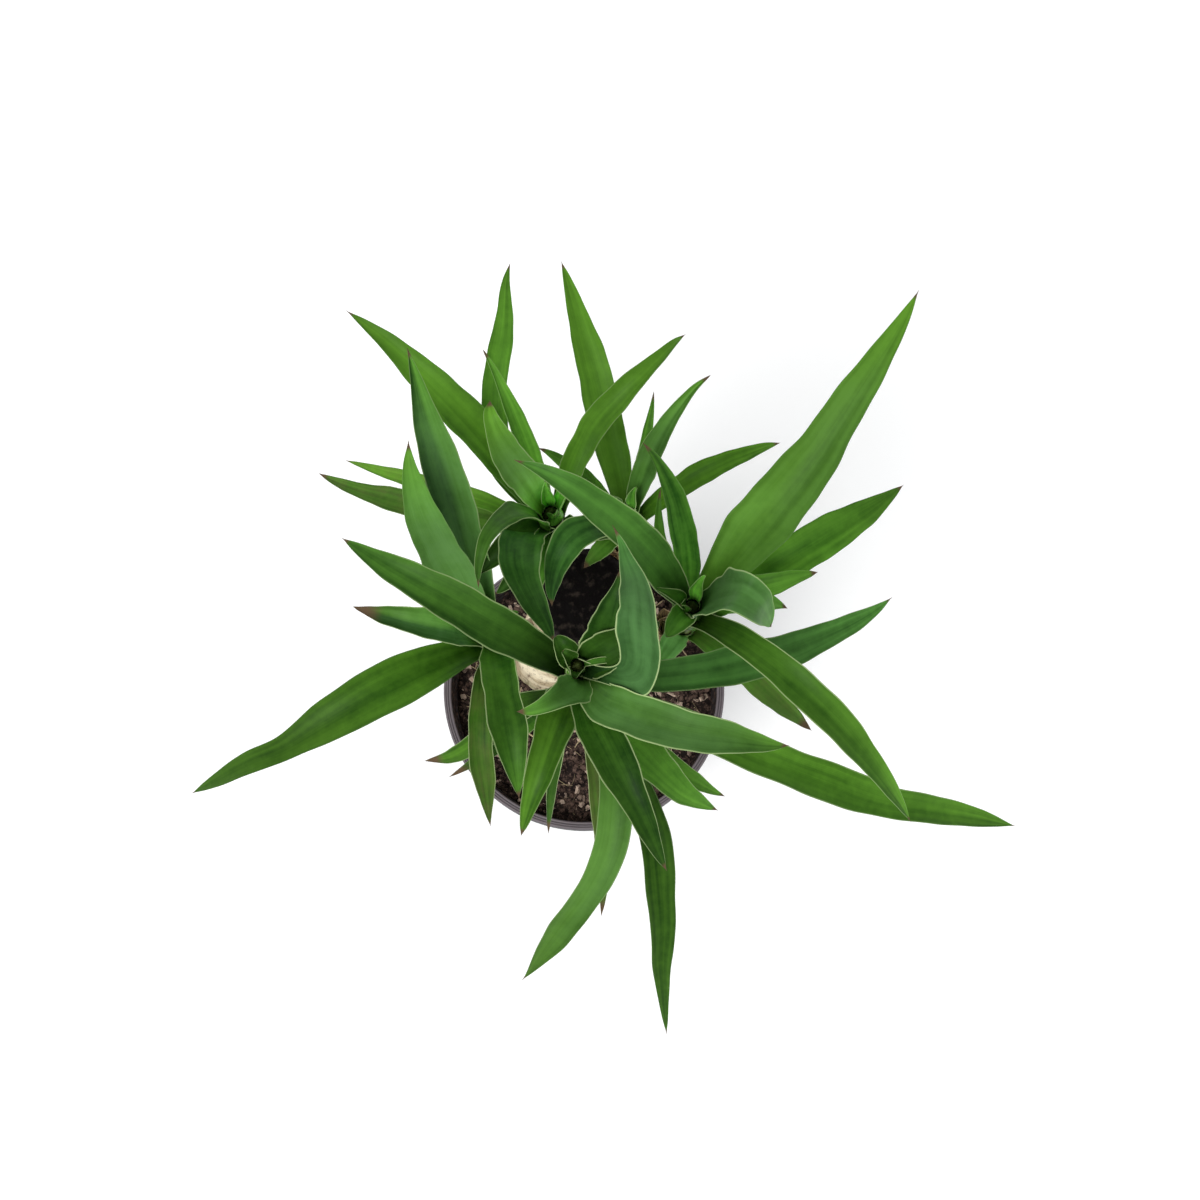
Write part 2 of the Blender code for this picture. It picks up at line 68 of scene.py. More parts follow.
# How single leaves differ from a plain blade. Every key is optional. The lists run from the base to the
# tip in even steps, and those for shift and width leave the base itself out.
#  shift    sideways moves of the blade in mm, + to its left
#  width    its width against the usual one
#  level    how far it turns to lie level across its own path, 0 to 1
#  channel  depth of its channel against the usual one, at the base and at the tip
#  wave     how far its edges wander, against the usual
#  tone     darker (-1) to lighter (1)
#  shaded_halves  painted light and shade: tone on top for its left half and its right half, one lit and one
#      shaded
#  light    painted light and shade: brightness against the usual, which darkens to the base as painted shade
#  cool     fresh green (0) to blue-green (1)
#  painted_sheen  grey-green painted sheen, 0 to 1
#  pale     how pale its edge is, 0 to 1
#  dry_tip  mm of brown at the tip
#  old      how olive and brown all of it has turned, 0 to 1
LEAF_HABITS = {
    "leaf_front_01": {
        "tone": -0.2, "light": (1.1, 1.05, 0.85, 0.65, 1.3), "cool": 0.75, "painted_sheen": 0.35, "pale": 1.0,
        "level": 0.3, "shift": (-7, -13.5, -7, 0.8, 5.5, 8, 7.5, 1),
        "width": (0.75, 1.2, 1.5, 1.3, 1.15, 1.05, 1.0, 1.0),
    },
    "leaf_front_02": {
        "tone": 0.2, "light": (2.6, 1.0, 1.0), "painted_sheen": 0.4, "pale": 1.0, "channel": (1.0, 1.4),
        "shift": (3, 3, 1, 0), "width": (0.8, 1.1, 1.0, 1.0),
    },
    "leaf_front_03": {
        "light": (1.5, 0.7, 0.8), "cool": 0.1, "painted_sheen": 0.4, "pale": 1.0,
        "shaded_halves": (0.25, -0.25), "shift": (-5.8, -3.2, 1, 0.3), "width": (1.15, 1.05, 1.15, 1.0),
    },
    "leaf_front_04": {
        "tone": -0.9, "light": (1.3, 0.7, 0.55), "cool": 0.4, "pale": 1.0,
        "shift": (-3, -4, -3, -2), "width": (1.1, 1.2, 1.2, 1),
    },
    "leaf_front_05": {
        "tone": -0.8, "light": (2.2, 0.7, 0.6), "pale": 0.9,
        "shift": (0, 1.5, 2.5, 0), "width": (1.1, 1.1, 1.0, 1),
    },
    "leaf_front_06": {
        "tone": -0.25, "light": (0.4, 0.7, 0.85), "cool": 0.3, "pale": 0.7, "shaded_halves": (-0.2, 0.2),
    },
    "leaf_front_07": {
        "tone": -0.1, "light": (1.7, 1.2, 1.4), "cool": 0.6, "painted_sheen": 0.1, "pale": 0.5,
        "shift": (-2.5, -1.5, 0, 0),
    },
    "leaf_front_08": {
        "light": (1.5, 0.7, 0.9), "cool": 0.0, "pale": 0.8, "channel": (1.4, 1.8),
        "shaded_halves": (-0.3, 0.5), "width": (1.3, 1.1, 1.0, 1),
    },
    "leaf_front_09": {
        "tone": 0.3, "light": (0.8, 0.75, 0.5), "cool": 0.0, "painted_sheen": 0.3, "pale": 0.5,
        "shaded_halves": (-0.3, 0.3), "shift": (2.5, 5, 6, 5.5, 1, -3, -4, -2.5),
        "width": (1, 1, 1, 1, 1.1, 1.4, 1.3, 1.0),
    },
    "leaf_front_10": {
        "light": (1.5, 1.4, 1.2), "pale": 0.9,
        "shift": (-0.5, -1, -2, 0), "width": (1.1, 1.2, 1.2, 1),
    },
    "leaf_front_11": {
        "tone": -0.15, "light": (0.7, 0.9, 0.95), "cool": 0.05, "pale": 0.6, "wave": 1.3,
        "shaded_halves": (0.3, -0.2), "shift": (0, 0.5, 0, -0.5, -1.5, 1, 2, 0),
        "width": (1, 1, 1, 1, 1, 1.15, 1.4, 1.2),
    },
    "leaf_front_12": {
        "tone": -0.55, "light": (0.5, 0.55, 0.7), "cool": 0.05, "pale": 0.3,
        "shift": (2, 4, 6, 3.5, 1, -2, -2, 0), "width": (1, 1, 1, 1.05, 1, 0.9, 0.9, 1),
    },
    "leaf_front_13": {"tone": 0.3, "pale": 0.9, "shaded_halves": (0.3, -0.1)},
    "leaf_front_14": {"light": (0.85, 0.85, 0.85), "pale": 1.0, "dry_tip": 18, "old": 0.5},
    "leaf_front_15": {"tone": -0.3, "light": (0.6, 0.6, 0.6), "pale": 1.0, "dry_tip": 14},
    "leaf_front_16": {
        "tone": -0.1, "light": (0.6, 0.8, 0.75), "cool": 0.0, "pale": 0.8, "dry_tip": 20,
        "shift": (-2.5, 1.5, 4, 0), "width": (1.6, 1.3, 1.15, 1),
    },
    "leaf_front_17": {
        "tone": -0.5, "light": (1.4, 1.1, 0.38), "pale": 0.6, "dry_tip": 22, "shift": (0, 0, 0.5, 2),
    },
    "leaf_right_01": {
        "light": (0.9, 0.6, 1.5), "cool": 0.5, "painted_sheen": 0.35, "pale": 0.9,
        "shift": (-1, -2, -1, 0), "width": (1.0, 1.1, 1.1, 1.0),
    },
    "leaf_right_02": {
        "light": (1.1, 0.95, 1.0), "cool": 0.5, "pale": 0.8, "shaded_halves": (0.15, -0.15),
    },
    "leaf_right_03": {
        "tone": 0.65, "light": (1.4, 0.65, 0.85), "cool": 0.0, "pale": 0.15, "wave": 1.2, "painted_sheen": 0.2,
        "shaded_halves": (0.35, -0.3), "shift": (0, -1, 0, 0), "width": (1.35, 1.1, 1.0, 1.0),
    },
    "leaf_right_04": {
        "tone": -0.1, "light": (1.0, 0.68, 0.85), "cool": 0.1, "pale": 0.8, "shaded_halves": (0.45, -0.35),
    },
    "leaf_right_05": {"tone": 0.15, "light": (1.8, 1.2, 1.0), "pale": 0.3},
    "leaf_right_06": {"tone": -0.6, "light": (3.8, 2.0, 0.62), "cool": 0.3, "pale": 0.4},
    "leaf_right_07": {
        "tone": -0.25, "light": (1.7, 1.3, 0.62), "cool": 0.1, "pale": 0.1, "width": (1.1, 1.1, 1.1, 1),
    },
    "leaf_right_08": {"tone": -0.3, "light": (1.7, 1.0, 0.95), "pale": 0.3},
    "leaf_right_09": {
        "tone": 0.1, "light": (3.8, 2.6, 2.0), "cool": 0.5, "painted_sheen": 0.4, "pale": 0.8,
        "width": (1.3, 1.3, 1.2, 1),
    },
    "leaf_right_10": {"light": (3.8, 1.3, 1.2), "pale": 0.5, "dry_tip": 20, "old": 0.48},
    "leaf_right_11": {
        "tone": 0.3, "light": (1.3, 1.3, 1.25), "painted_sheen": 0.4, "pale": 0.5,
        "width": (1, 1.3, 1.5, 1.2), "shift": (0, -0.5, -1.5, -2),
    },
    "leaf_back_01": {
        "tone": 0.75, "light": (4.5, 1.15, 0.9), "cool": 0.0, "painted_sheen": 0.4, "pale": 0.8,
        "shift": (0, 0.5, 1.5, 0), "width": (1.0, 1.15, 1.4, 1.8),
    },
    "leaf_back_02": {
        "tone": -0.5, "light": (3.4, 1.2, 0.45), "cool": 0.25, "pale": 0.9, "channel": (1.0, 1.2),
        "level": 0.8, "shift": (4, 4.8, 4, 0),
    },
    "leaf_back_03": {
        "tone": 0.25, "light": (1.2, 0.68, 0.88), "cool": 0.0, "pale": 0.5, "wave": 1.4,
        "shaded_halves": (0.1, -0.1), "shift": (0, 1, -2.5, 0),
    },
    "leaf_back_04": {
        "tone": -0.75, "light": (3.6, 1.35, 0.75), "cool": 0.5, "pale": 0.9, "channel": (0.7, 0.8),
        "level": 0.5, "shift": (-2, -5.5, -5.5, -4.8, -2.2, 1.2, 2.6, 1.5), "width": (1.1, 1.05, 0.95, 1.0),
    },
    "leaf_back_05": {
        "tone": 0.3, "light": (1.5, 1.4, 1.0), "pale": 0.6, "shaded_halves": (-0.3, 0.2), "channel": (1.6, 2.2),
    },
    "leaf_back_06": {"tone": 0.2, "pale": 0.7},
    "leaf_back_07": {
        "tone": 0.35, "light": (1.0, 0.9, 0.64), "cool": 0.0, "pale": 0.2, "width": (1, 1.1, 1.05, 1),
    },
    "leaf_back_08": {
        "light": (1.4, 1.25, 0.78), "cool": 0.1, "pale": 0.2, "wave": 1.3,
        "shift": (10, 4, -3, 0), "width": (1.1, 0.95, 1.1, 1.1),
    },
    "leaf_back_09": {
        "tone": 0.2, "light": (2.1, 1.5, 1.2), "cool": 0.0, "pale": 0.3, "dry_tip": 6, "old": 0.46,
        "shift": (0, 1, 2, 1.5),
    },
    "leaf_back_10": {"tone": -0.2, "light": (1.9, 1.0, 0.95), "pale": 0.6, "dry_tip": 12, "old": 0.46},
    "leaf_left_01": {
        "tone": 0.7, "light": (1.0, 0.95, 1.0), "painted_sheen": 0.5, "pale": 0.4,
        "shift": (0, 0.5, 1, 0), "width": (1, 1.05, 1.2, 1.1),
    },
    "leaf_left_02": {
        "tone": -0.2, "light": (1.9, 0.9, 1.05), "cool": 0.3, "pale": 0.7, "channel": (1.6, 1.6),
        "shaded_halves": (-0.8, 0.8), "painted_sheen": 0.45, "shift": (0, 0.5, 1.2, 0), "width": (1.05, 1.15, 1.3, 1.1),
    },
    "leaf_left_03": {
        "tone": -0.6, "light": (3.0, 0.9, 0.98), "pale": 1.0,
        "shift": (1, 1.3, 1.5, 0), "width": (1, 0.97, 1.25, 1.1),
    },
    "leaf_left_04": {
        "tone": -0.8, "light": (3.6, 1.3, 0.42), "cool": 0.0, "painted_sheen": 0.35, "pale": 0.9,
        "channel": (1.6, 2.0), "dry_tip": 30, "shaded_halves": (-0.5, 0.9), "width": (1.0, 1.05, 0.8, 0.4),
    },
    "leaf_left_05": {
        "tone": -0.2, "light": (1.6, 0.6, 0.55), "cool": 0.0, "pale": 0.2, "wave": 0.6,
        "shift": (0, -0.5, -0.5, 0.3, 1.5, -0.5, -0.5, 0),
        "width": (1.1, 1.25, 1.15, 0.95, 0.7, 0.76, 0.85, 0.8),
    },
    "leaf_left_06": {
        "tone": -0.5, "light": (1.2, 0.85, 0.8), "cool": 0.1, "pale": 1.0, "old": 0.46,
        "shift": (0, 0.5, 1.5, 0), "width": (1, 1.1, 1.35, 1),
    },
    "leaf_rear_01": {
        "tone": 0.3, "light": (1.2, 0.72, 1.0), "painted_sheen": 0.3, "pale": 0.5, "channel": (1.3, 2.6),
        "shaded_halves": (0.5, -0.3),
    },
    "leaf_rear_02": {
        "tone": -0.8, "light": (0.8, 1.2, 1.5), "cool": 0.6, "pale": 0.8, "level": 0.4,
        "shift": (2.5, -0.5, -0.5, 0), "width": (0.95, 1.15, 1.1, 1),
    },
    "leaf_rear_03": {"tone": -0.1, "light": (1.1, 1.1, 1.1), "pale": 0.3},
    "leaf_rear_04": {"tone": -0.2, "light": (1.4, 0.85, 1.1), "cool": 0.0, "pale": 0.2},
    "leaf_rear_05": {
        "tone": 0.45, "light": (1.0, 0.76, 0.92), "cool": 0.0, "pale": 0.2,
        "shaded_halves": (-0.2, 0.2), "width": (1, 1, 0.93, 1),
    },
    "leaf_rear_06": {
        "tone": -0.1, "light": (1.9, 1.7, 0.68), "pale": 0.8, "old": 0.42, "width": (1.2, 1.3, 1.2, 1),
    },
    "leaf_rear_07": {"tone": -0.2, "light": (1.2, 1.2, 1.1), "pale": 0.2},
}

# Young leaves in each crown and small leaves below it, which the model leaves out:
# drop below the crown, bearing from +X, reach, rise, arch, bow to the left and width, in millimetres
# and degrees, then the brightness of its painted light and shade, and the length of the dry tip
YOUNG_LEAVES = {
    "front": [
        (0, 2, 20, 8, 6, 0, 3, 0.65, 1),
        (1, 140, 5, 7, 4, 0, 8, 0.5, 1),
        (1, -100, 4, 7, 4, 0, 8, 0.5, 1),
        (8, 24, 34, 28, 14, -3, 20, 0.3, 1),
        (14, 125, 12, 8, 5, 0, 13, 0.5, 1),
    ],
    "right": [
        (1, 60, 7, 22, 8, 1, 7, 2.8, 1),
        (1, -150, 4, 16, 6, 0, 6, 0.8, 1),
        (4, 170, 14, 26, 10, 1, 8, 0.9, 1),
        (6, -128, 15, 6, 6, 0, 13, 1.3, 1),
    ],
    "back": [
        (1, 100, 5, 24, 8, 1, 7, 3.5, 1),
        (1, -70, 4, 16, 6, 0, 6, 2.0, 1),
        (3, 20, 10, 30, 8, 1, 8, 3.0, 1),
        (24, -106, 42, 14, 18, 3, 14, 1.4, 12),
        (28, -124, 40, 16, 16, 4, 14, 0.4, 2),
        (16, -55, 16, 8, 10, 2, 12, 0.3, 1),
        (20, -138, 38, 14, 14, 0, 16, 0.32, 1),
    ],
    "left": [
        (1, 100, 7, 24, 8, 1, 8, 1, 1),
        (1, -60, 5, 14, 6, 0, 6, 1, 1),
        (4, 20, 12, 22, 10, 0, 9, 1, 1),
    ],
    "rear": [
        (1, 60, 5, 20, 8, 1, 6, 1.4, 1),
        (1, -120, 4, 14, 6, 0, 6, 1, 1),
        (3, 170, 10, 24, 8, 0, 7, 1, 1),
        (32, -172, 19, 2, 6, 0, 15, 0.4, 6),
    ],
}
SHOOT_NAMES = tuple(YOUNG_LEAVES)


# Tools --------------------------------------------------------------------------------------------

def deselect_all():
    """Leave object mode with nothing selected, so that an operator acts on one piece only."""
    if bpy.context.object and bpy.context.object.mode != "OBJECT":
        bpy.ops.object.mode_set(mode="OBJECT")
    bpy.ops.object.select_all(action="DESELECT")


def pick(piece):
    """Make one piece the active and only selected one."""
    deselect_all()
    piece.select_set(True)
    bpy.context.view_layer.objects.active = piece


def new_piece(name):
    """Name the primitive that was just added."""
    piece = bpy.context.object
    piece.name = name
    piece.data.name = name
    return piece


def put(name, data):
    """Put data that no operator adds into the scene as an object."""
    item = bpy.data.objects.new(name, data)
    bpy.context.scene.collection.objects.link(item)
    return item


@contextmanager
def editing(piece):
    """Edit mode for the operators in a with block, with all of the piece selected."""
    pick(piece)
    bpy.ops.object.mode_set(mode="EDIT")
    bpy.ops.mesh.select_all(action="SELECT")
    yield
    bpy.ops.object.mode_set(mode="OBJECT")


def apply_modifiers(piece):
    """Apply every modifier of a piece, in order."""
    pick(piece)
    for modifier in list(piece.modifiers):
        bpy.ops.object.modifier_apply(modifier=modifier.name)


def smooth(piece, angle):
    """Shade a piece smooth, but keep edges sharper than an angle in degrees."""
    pick(piece)
    bpy.ops.object.shade_smooth_by_angle(angle=radians(angle))


def points_of(piece):
    """The vertices of a piece as rows of x, y and z."""
    rows = np.empty(len(piece.data.vertices) * 3)
    piece.data.vertices.foreach_get("co", rows)
    return rows.reshape(-1, 3)


def place_points(piece, rows):
    """Move the vertices of a piece to rows of x, y and z."""
    piece.data.vertices.foreach_set("co", np.asarray(rows, float).ravel())
    piece.data.update()


def paint(piece, name, values):
    """Store one number per vertex for the finish to read."""
    marks = piece.data.attributes.new(name, "FLOAT", "POINT")
    marks.data.foreach_set("value", np.broadcast_to(values, len(piece.data.vertices)).astype(np.float32))


def clean(piece):
    """Merge doubles and turn every face outwards."""
    with editing(piece):
        bpy.ops.mesh.remove_doubles(threshold=WELD)
        bpy.ops.mesh.normals_make_consistent(inside=False)


def cut_across(piece, axis, cuts):
    """Cut the long edges of a cylinder that lies along an axis (0 to 2) into even parts."""
    with editing(piece):
        shell = bmesh.from_edit_mesh(piece.data)
        lengthwise = [
            edge for edge in shell.edges if abs(edge.verts[0].co[axis] - edge.verts[1].co[axis]) > 0.5
        ]
        bmesh.ops.subdivide_edges(shell, edges=lengthwise, cuts=cuts, use_grid_fill=True)
        bmesh.update_edit_mesh(piece.data)


def thicken(piece, thickness):
    """Give a surface a wall below it, as a modifier that is yet to be applied."""
    wall = piece.modifiers.new("thickness", "SOLIDIFY")
    wall.thickness = thickness
    wall.offset = -1
    return wall


def hand_over(piece, finishes, slot, *nodes):
    """Finish a piece and fasten it to the frame: it rides and stands for CAD nodes; its slot is not used."""
    for finish in finishes:
        piece.data.materials.append(finish)
    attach(piece, "root")
    if nodes:
        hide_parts(*nodes)


def curve_through(rows, at):
    """A smooth curve through evenly numbered rows of numbers, read at fractional row numbers."""
    rows = np.asarray(rows, float)
    flat = rows.ndim == 1
    if flat:
        rows = rows[:, None]
    ends = np.concatenate([2 * rows[:1] - rows[1:2], rows, 2 * rows[-1:] - rows[-2:-1]])
    row = np.clip(np.asarray(at).astype(int), 0, len(rows) - 2)
    t = (at - row)[:, None]
    a, b, c, d = ends[row], ends[row + 1], ends[row + 2], ends[row + 3]
    curve = b + 0.5 * t * (c - a + t * (2 * a - 5 * b + 4 * c - d + t * (3 * b - a - 3 * c + d)))
    return curve[:, 0] if flat else curve


def spread(values, at):
    """Numbers that run in even steps from the base to the tip, read at shares of the length."""
    return curve_through(values, np.clip(at, 0, 1) * (len(values) - 1))


def along_path(path):
    """Distance travelled at each row of a path."""
    steps = np.linalg.norm(np.diff(path, axis=0), axis=1)
    return np.concatenate([[0.0], np.cumsum(steps)])


def on_path(path, travelled, distance):
    """Points of a path at distances travelled along it."""
    return np.stack([np.interp(distance, travelled, path[:, axis]) for axis in range(3)], axis=1)


def unit(rows):
    """Rows of vectors, each made one long."""
    return rows / np.linalg.norm(rows, axis=-1, keepdims=True)


def square_to(onward, rows):
    """Rows of vectors, made square to the onward ones and one long."""
    return unit(rows - onward * (rows * onward).sum(axis=1, keepdims=True))


def smoothstep(low, high, value):
    """0 below low, 1 above high and a soft rise between."""
    t = np.clip((np.asarray(value, float) - low) / (high - low), 0, 1)
    return t * t * (3 - 2 * t)


# What the frame says ------------------------------------------------------------------------------

CROWN_REACH = 4.6 * MM  # how far the top ring of a shoot's solid reaches from its highest point
STEM_ROWS = 161  # rows of the smooth middle line of a shoot


def welded(node):
    """Vertices of a CAD node and the neighbours of each, with its loose triangles joined."""
    shell = bmesh.new()
    shell.from_mesh(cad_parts[node].data)
    bmesh.ops.remove_doubles(shell, verts=shell.verts, dist=WELD)
    shell.verts.index_update()
    points = np.array([vertex.co for vertex in shell.verts])
    neighbours = [{edge.other_vert(vertex).index for edge in vertex.link_edges} for vertex in shell.verts]
    shell.free()
    return points, neighbours


def layers_from(neighbours, first):
    """Lists of vertices met one step after another, starting from a first set."""
    seen = set(first)
    layers = [sorted(first)]
    while layers[-1]:
        ahead = {other for vertex in layers[-1] for other in neighbours[vertex]} - seen
        seen |= ahead
        layers.append(sorted(ahead))
    return layers[:-1]


def leaf_solid(node, crown):
    """A leaf's middle, left direction and width, read from the rings of four points of its solid."""
    points, neighbours = welded(node)
    layers = {end: layers_from(neighbours, {end})[1:] for end in range(len(points))}
    ends = [end for end in layers if all(len(ring) == 4 for ring in layers[end])]
    tip = max(ends, key=lambda end: np.linalg.norm(points[end] - crown))
    rings = [points[ring] for ring in reversed(layers[tip])]
    middle, lefts, widths = [], [], []
    for number, ring in enumerate(rings):
        pairs = combinations(range(4), 2)
        edges = max(pairs, key=lambda pair: np.linalg.norm(ring[pair[0]] - ring[pair[1]]))
        chord = (ring[edges[0]] + ring[edges[1]]) / 2
        others = [i for i in range(4) if i not in edges]
        others.sort(key=lambda i: np.linalg.norm(ring[i] - chord))
        midrib, keel = ring[others[0]], ring[others[1]]
        ahead = rings[number + 1].mean(axis=0) if number + 1 < len(rings) else points[tip]
        across = ring[edges[0]] - ring[edges[1]]
        left = np.cross(midrib - keel, ahead - ring.mean(axis=0))
        across *= np.sign(across @ left)
        middle.append(midrib)
        lefts.append(across / np.linalg.norm(across))
        widths.append(np.linalg.norm(across))
    middle.append(points[tip])
    lefts.append(lefts[-1])
    return np.array(middle), np.array(lefts), max(widths)


def shoot_solid(name):
    """Middle line of a shoot from its crown down to the cane, and its radius there."""
    points, neighbours = welded(f"shoot_{name}")
    top = points[points[:, 2].argmax()]
    crown = np.flatnonzero(np.linalg.norm(points - top, axis=1) < CROWN_REACH)
    rings = [points[layer] for layer in layers_from(neighbours, set(crown.tolist()))]
    middle = np.array([ring.mean(axis=0) for ring in rings])
    radius = np.array([np.linalg.norm(ring - ring.mean(axis=0), axis=1).mean() for ring in rings])
    rows = np.linspace(0, len(middle) - 1, STEM_ROWS)
    return curve_through(middle, rows), np.interp(rows, range(len(radius)), radius)


def level_rings(node):
    """Middle and mean radius of each level ring of points of a CAD node, lowest first."""
    points, _ = welded(node)
    levels = np.unique(np.round(points[:, 2], 5))
    rings = [points[np.abs(points[:, 2] - level) < WELD] for level in levels]
    middle = np.array([ring.mean(axis=0) for ring in rings])
    radius = np.array([np.linalg.norm((ring - ring.mean(axis=0))[:, :2], axis=1).mean() for ring in rings])
    return middle, radius


# Sizes and colours --------------------------------------------------------------------------------

def length(name, description, millimetres):
    """A property for a length."""
    return FloatProperty(name=name, description=description, default=millimetres * MM, min=0, unit="LENGTH")


def share(name, description, default):
    """A property for a plain number."""
    return FloatProperty(name=name, description=description, default=default)


def count(name, description, default):
    """A property for a number of things."""
    return IntProperty(name=name, description=description, default=default, min=1)


def colour(name, description, red, green, blue):
    """A property for a colour, in linear light."""
    return FloatVectorProperty(
        name=name, description=description, default=(red, green, blue), subtype="COLOR", min=0, max=1
    )


class YuccaSizes(bpy.types.PropertyGroup):
    """Sizes of the finish; the plant's own sizes come from the model."""

    leaf_thickness: length("Leaf thickness", "Thickness of a blade along its middle", 0.9)
    leaf_edge: share("Leaf edge", "Thickness of a blade's edge against its middle", 0.45)
    leaf_across: count("Leaf columns", "Faces across a blade", 14)
    leaf_along: count("Leaf rows", "Faces along a blade", 84)
    sheath: length("Sheath", "Length of the leaf base that wraps the shoot", 8)
    bract: length("Bract", "Length of the dry scales low on a shoot", 13)
    bark_relief: length("Bark relief", "Depth of the cracks and leaf scars", 0.9)
    wax_thickness: length("Wax thickness", "Thickness of the sealing wax", 1.2)
    crumbs: count("Peat crumbs", "Loose crumbs on the peat", 2000)
    chips: count("Bark chips", "Chips of bark and wood on the peat", 520)
    fibres: count("Fibres", "Straws and root fibres on the peat", 150)


class YuccaColours(bpy.types.PropertyGroup):
    """Colours of the finish."""

    leaf_deep: colour("Deep green", "Shaded and older leaf tissue", 0.014, 0.062, 0.003)
    leaf_fresh: colour("Fresh green", "Bright leaf tissue", 0.118, 0.300, 0.024)
    leaf_cool: colour("Blue-green", "Waxy leaves near the hearts", 0.036, 0.128, 0.036)
    # Painted sheen: a paler grey-green mixed into patches of the blades.
    leaf_painted_sheen: colour("Bloom", "Waxy bloom on young leaves", 0.13, 0.27, 0.11)
    leaf_under: colour("Leaf underside", "Paler lower face", 0.105, 0.215, 0.062)
    leaf_margin: colour("Leaf margin", "Thin horny edge", 0.58, 0.70, 0.34)
    leaf_dry: colour("Dry tissue", "Brown tips and scales", 0.100, 0.065, 0.035)
    shoot_green: colour("Shoot green", "Young stem tissue", 0.17, 0.23, 0.055)
    shoot_olive: colour("Shoot olive", "Older stem tissue near the cane", 0.12, 0.11, 0.045)
    scale_tan: colour("Scale tan", "Papery dead scales", 0.42, 0.29, 0.15)
    bark_pale: colour("Pale bark", "Corky ridges of the cane", 0.86, 0.76, 0.55)
    bark_dark: colour("Dark bark", "Cracks of the cane", 0.16, 0.105, 0.07)
    moss: colour("Moss", "Green and grey weathering of the bark", 0.26, 0.27, 0.12)
    wax: colour("Wax", "Sealing wax on the cut", 0.004, 0.003, 0.003)
    wax_dull: colour("Dull wax", "Its dull and dusty places", 0.042, 0.032, 0.026)
    wax_smear: colour("Wax smear", "Streaks where it has run", 0.095, 0.078, 0.080)
    peat_dark: colour("Dark peat", "Moist peat", 0.011, 0.007, 0.006)
    peat_brown: colour("Brown peat", "Drier peat", 0.125, 0.080, 0.063)
    chip_pale: colour("Pale chip", "Wood chips", 0.55, 0.42, 0.33)
    straw: colour("Straw", "Straws and root fibres", 0.52, 0.42, 0.25)
    pot_grey: colour("Pot", "Moulded plastic of the pot", 0.022, 0.021, 0.023)
    # Painted highlight: the pale top of the rim, where it catches the light.
    pot_rim_highlight: colour("Worn rim", "Rubbed and dusty top of the rim", 0.155, 0.132, 0.142)
    floor: colour("Floor", "The plain floor", 0.93, 0.93, 0.93)


# Finishes -----------------------------------------------------------------------------------------

def tint(colour, factor=1.0):
    """The three numbers of a colour, times one factor or times three."""
    return np.array(colour[:]) * factor


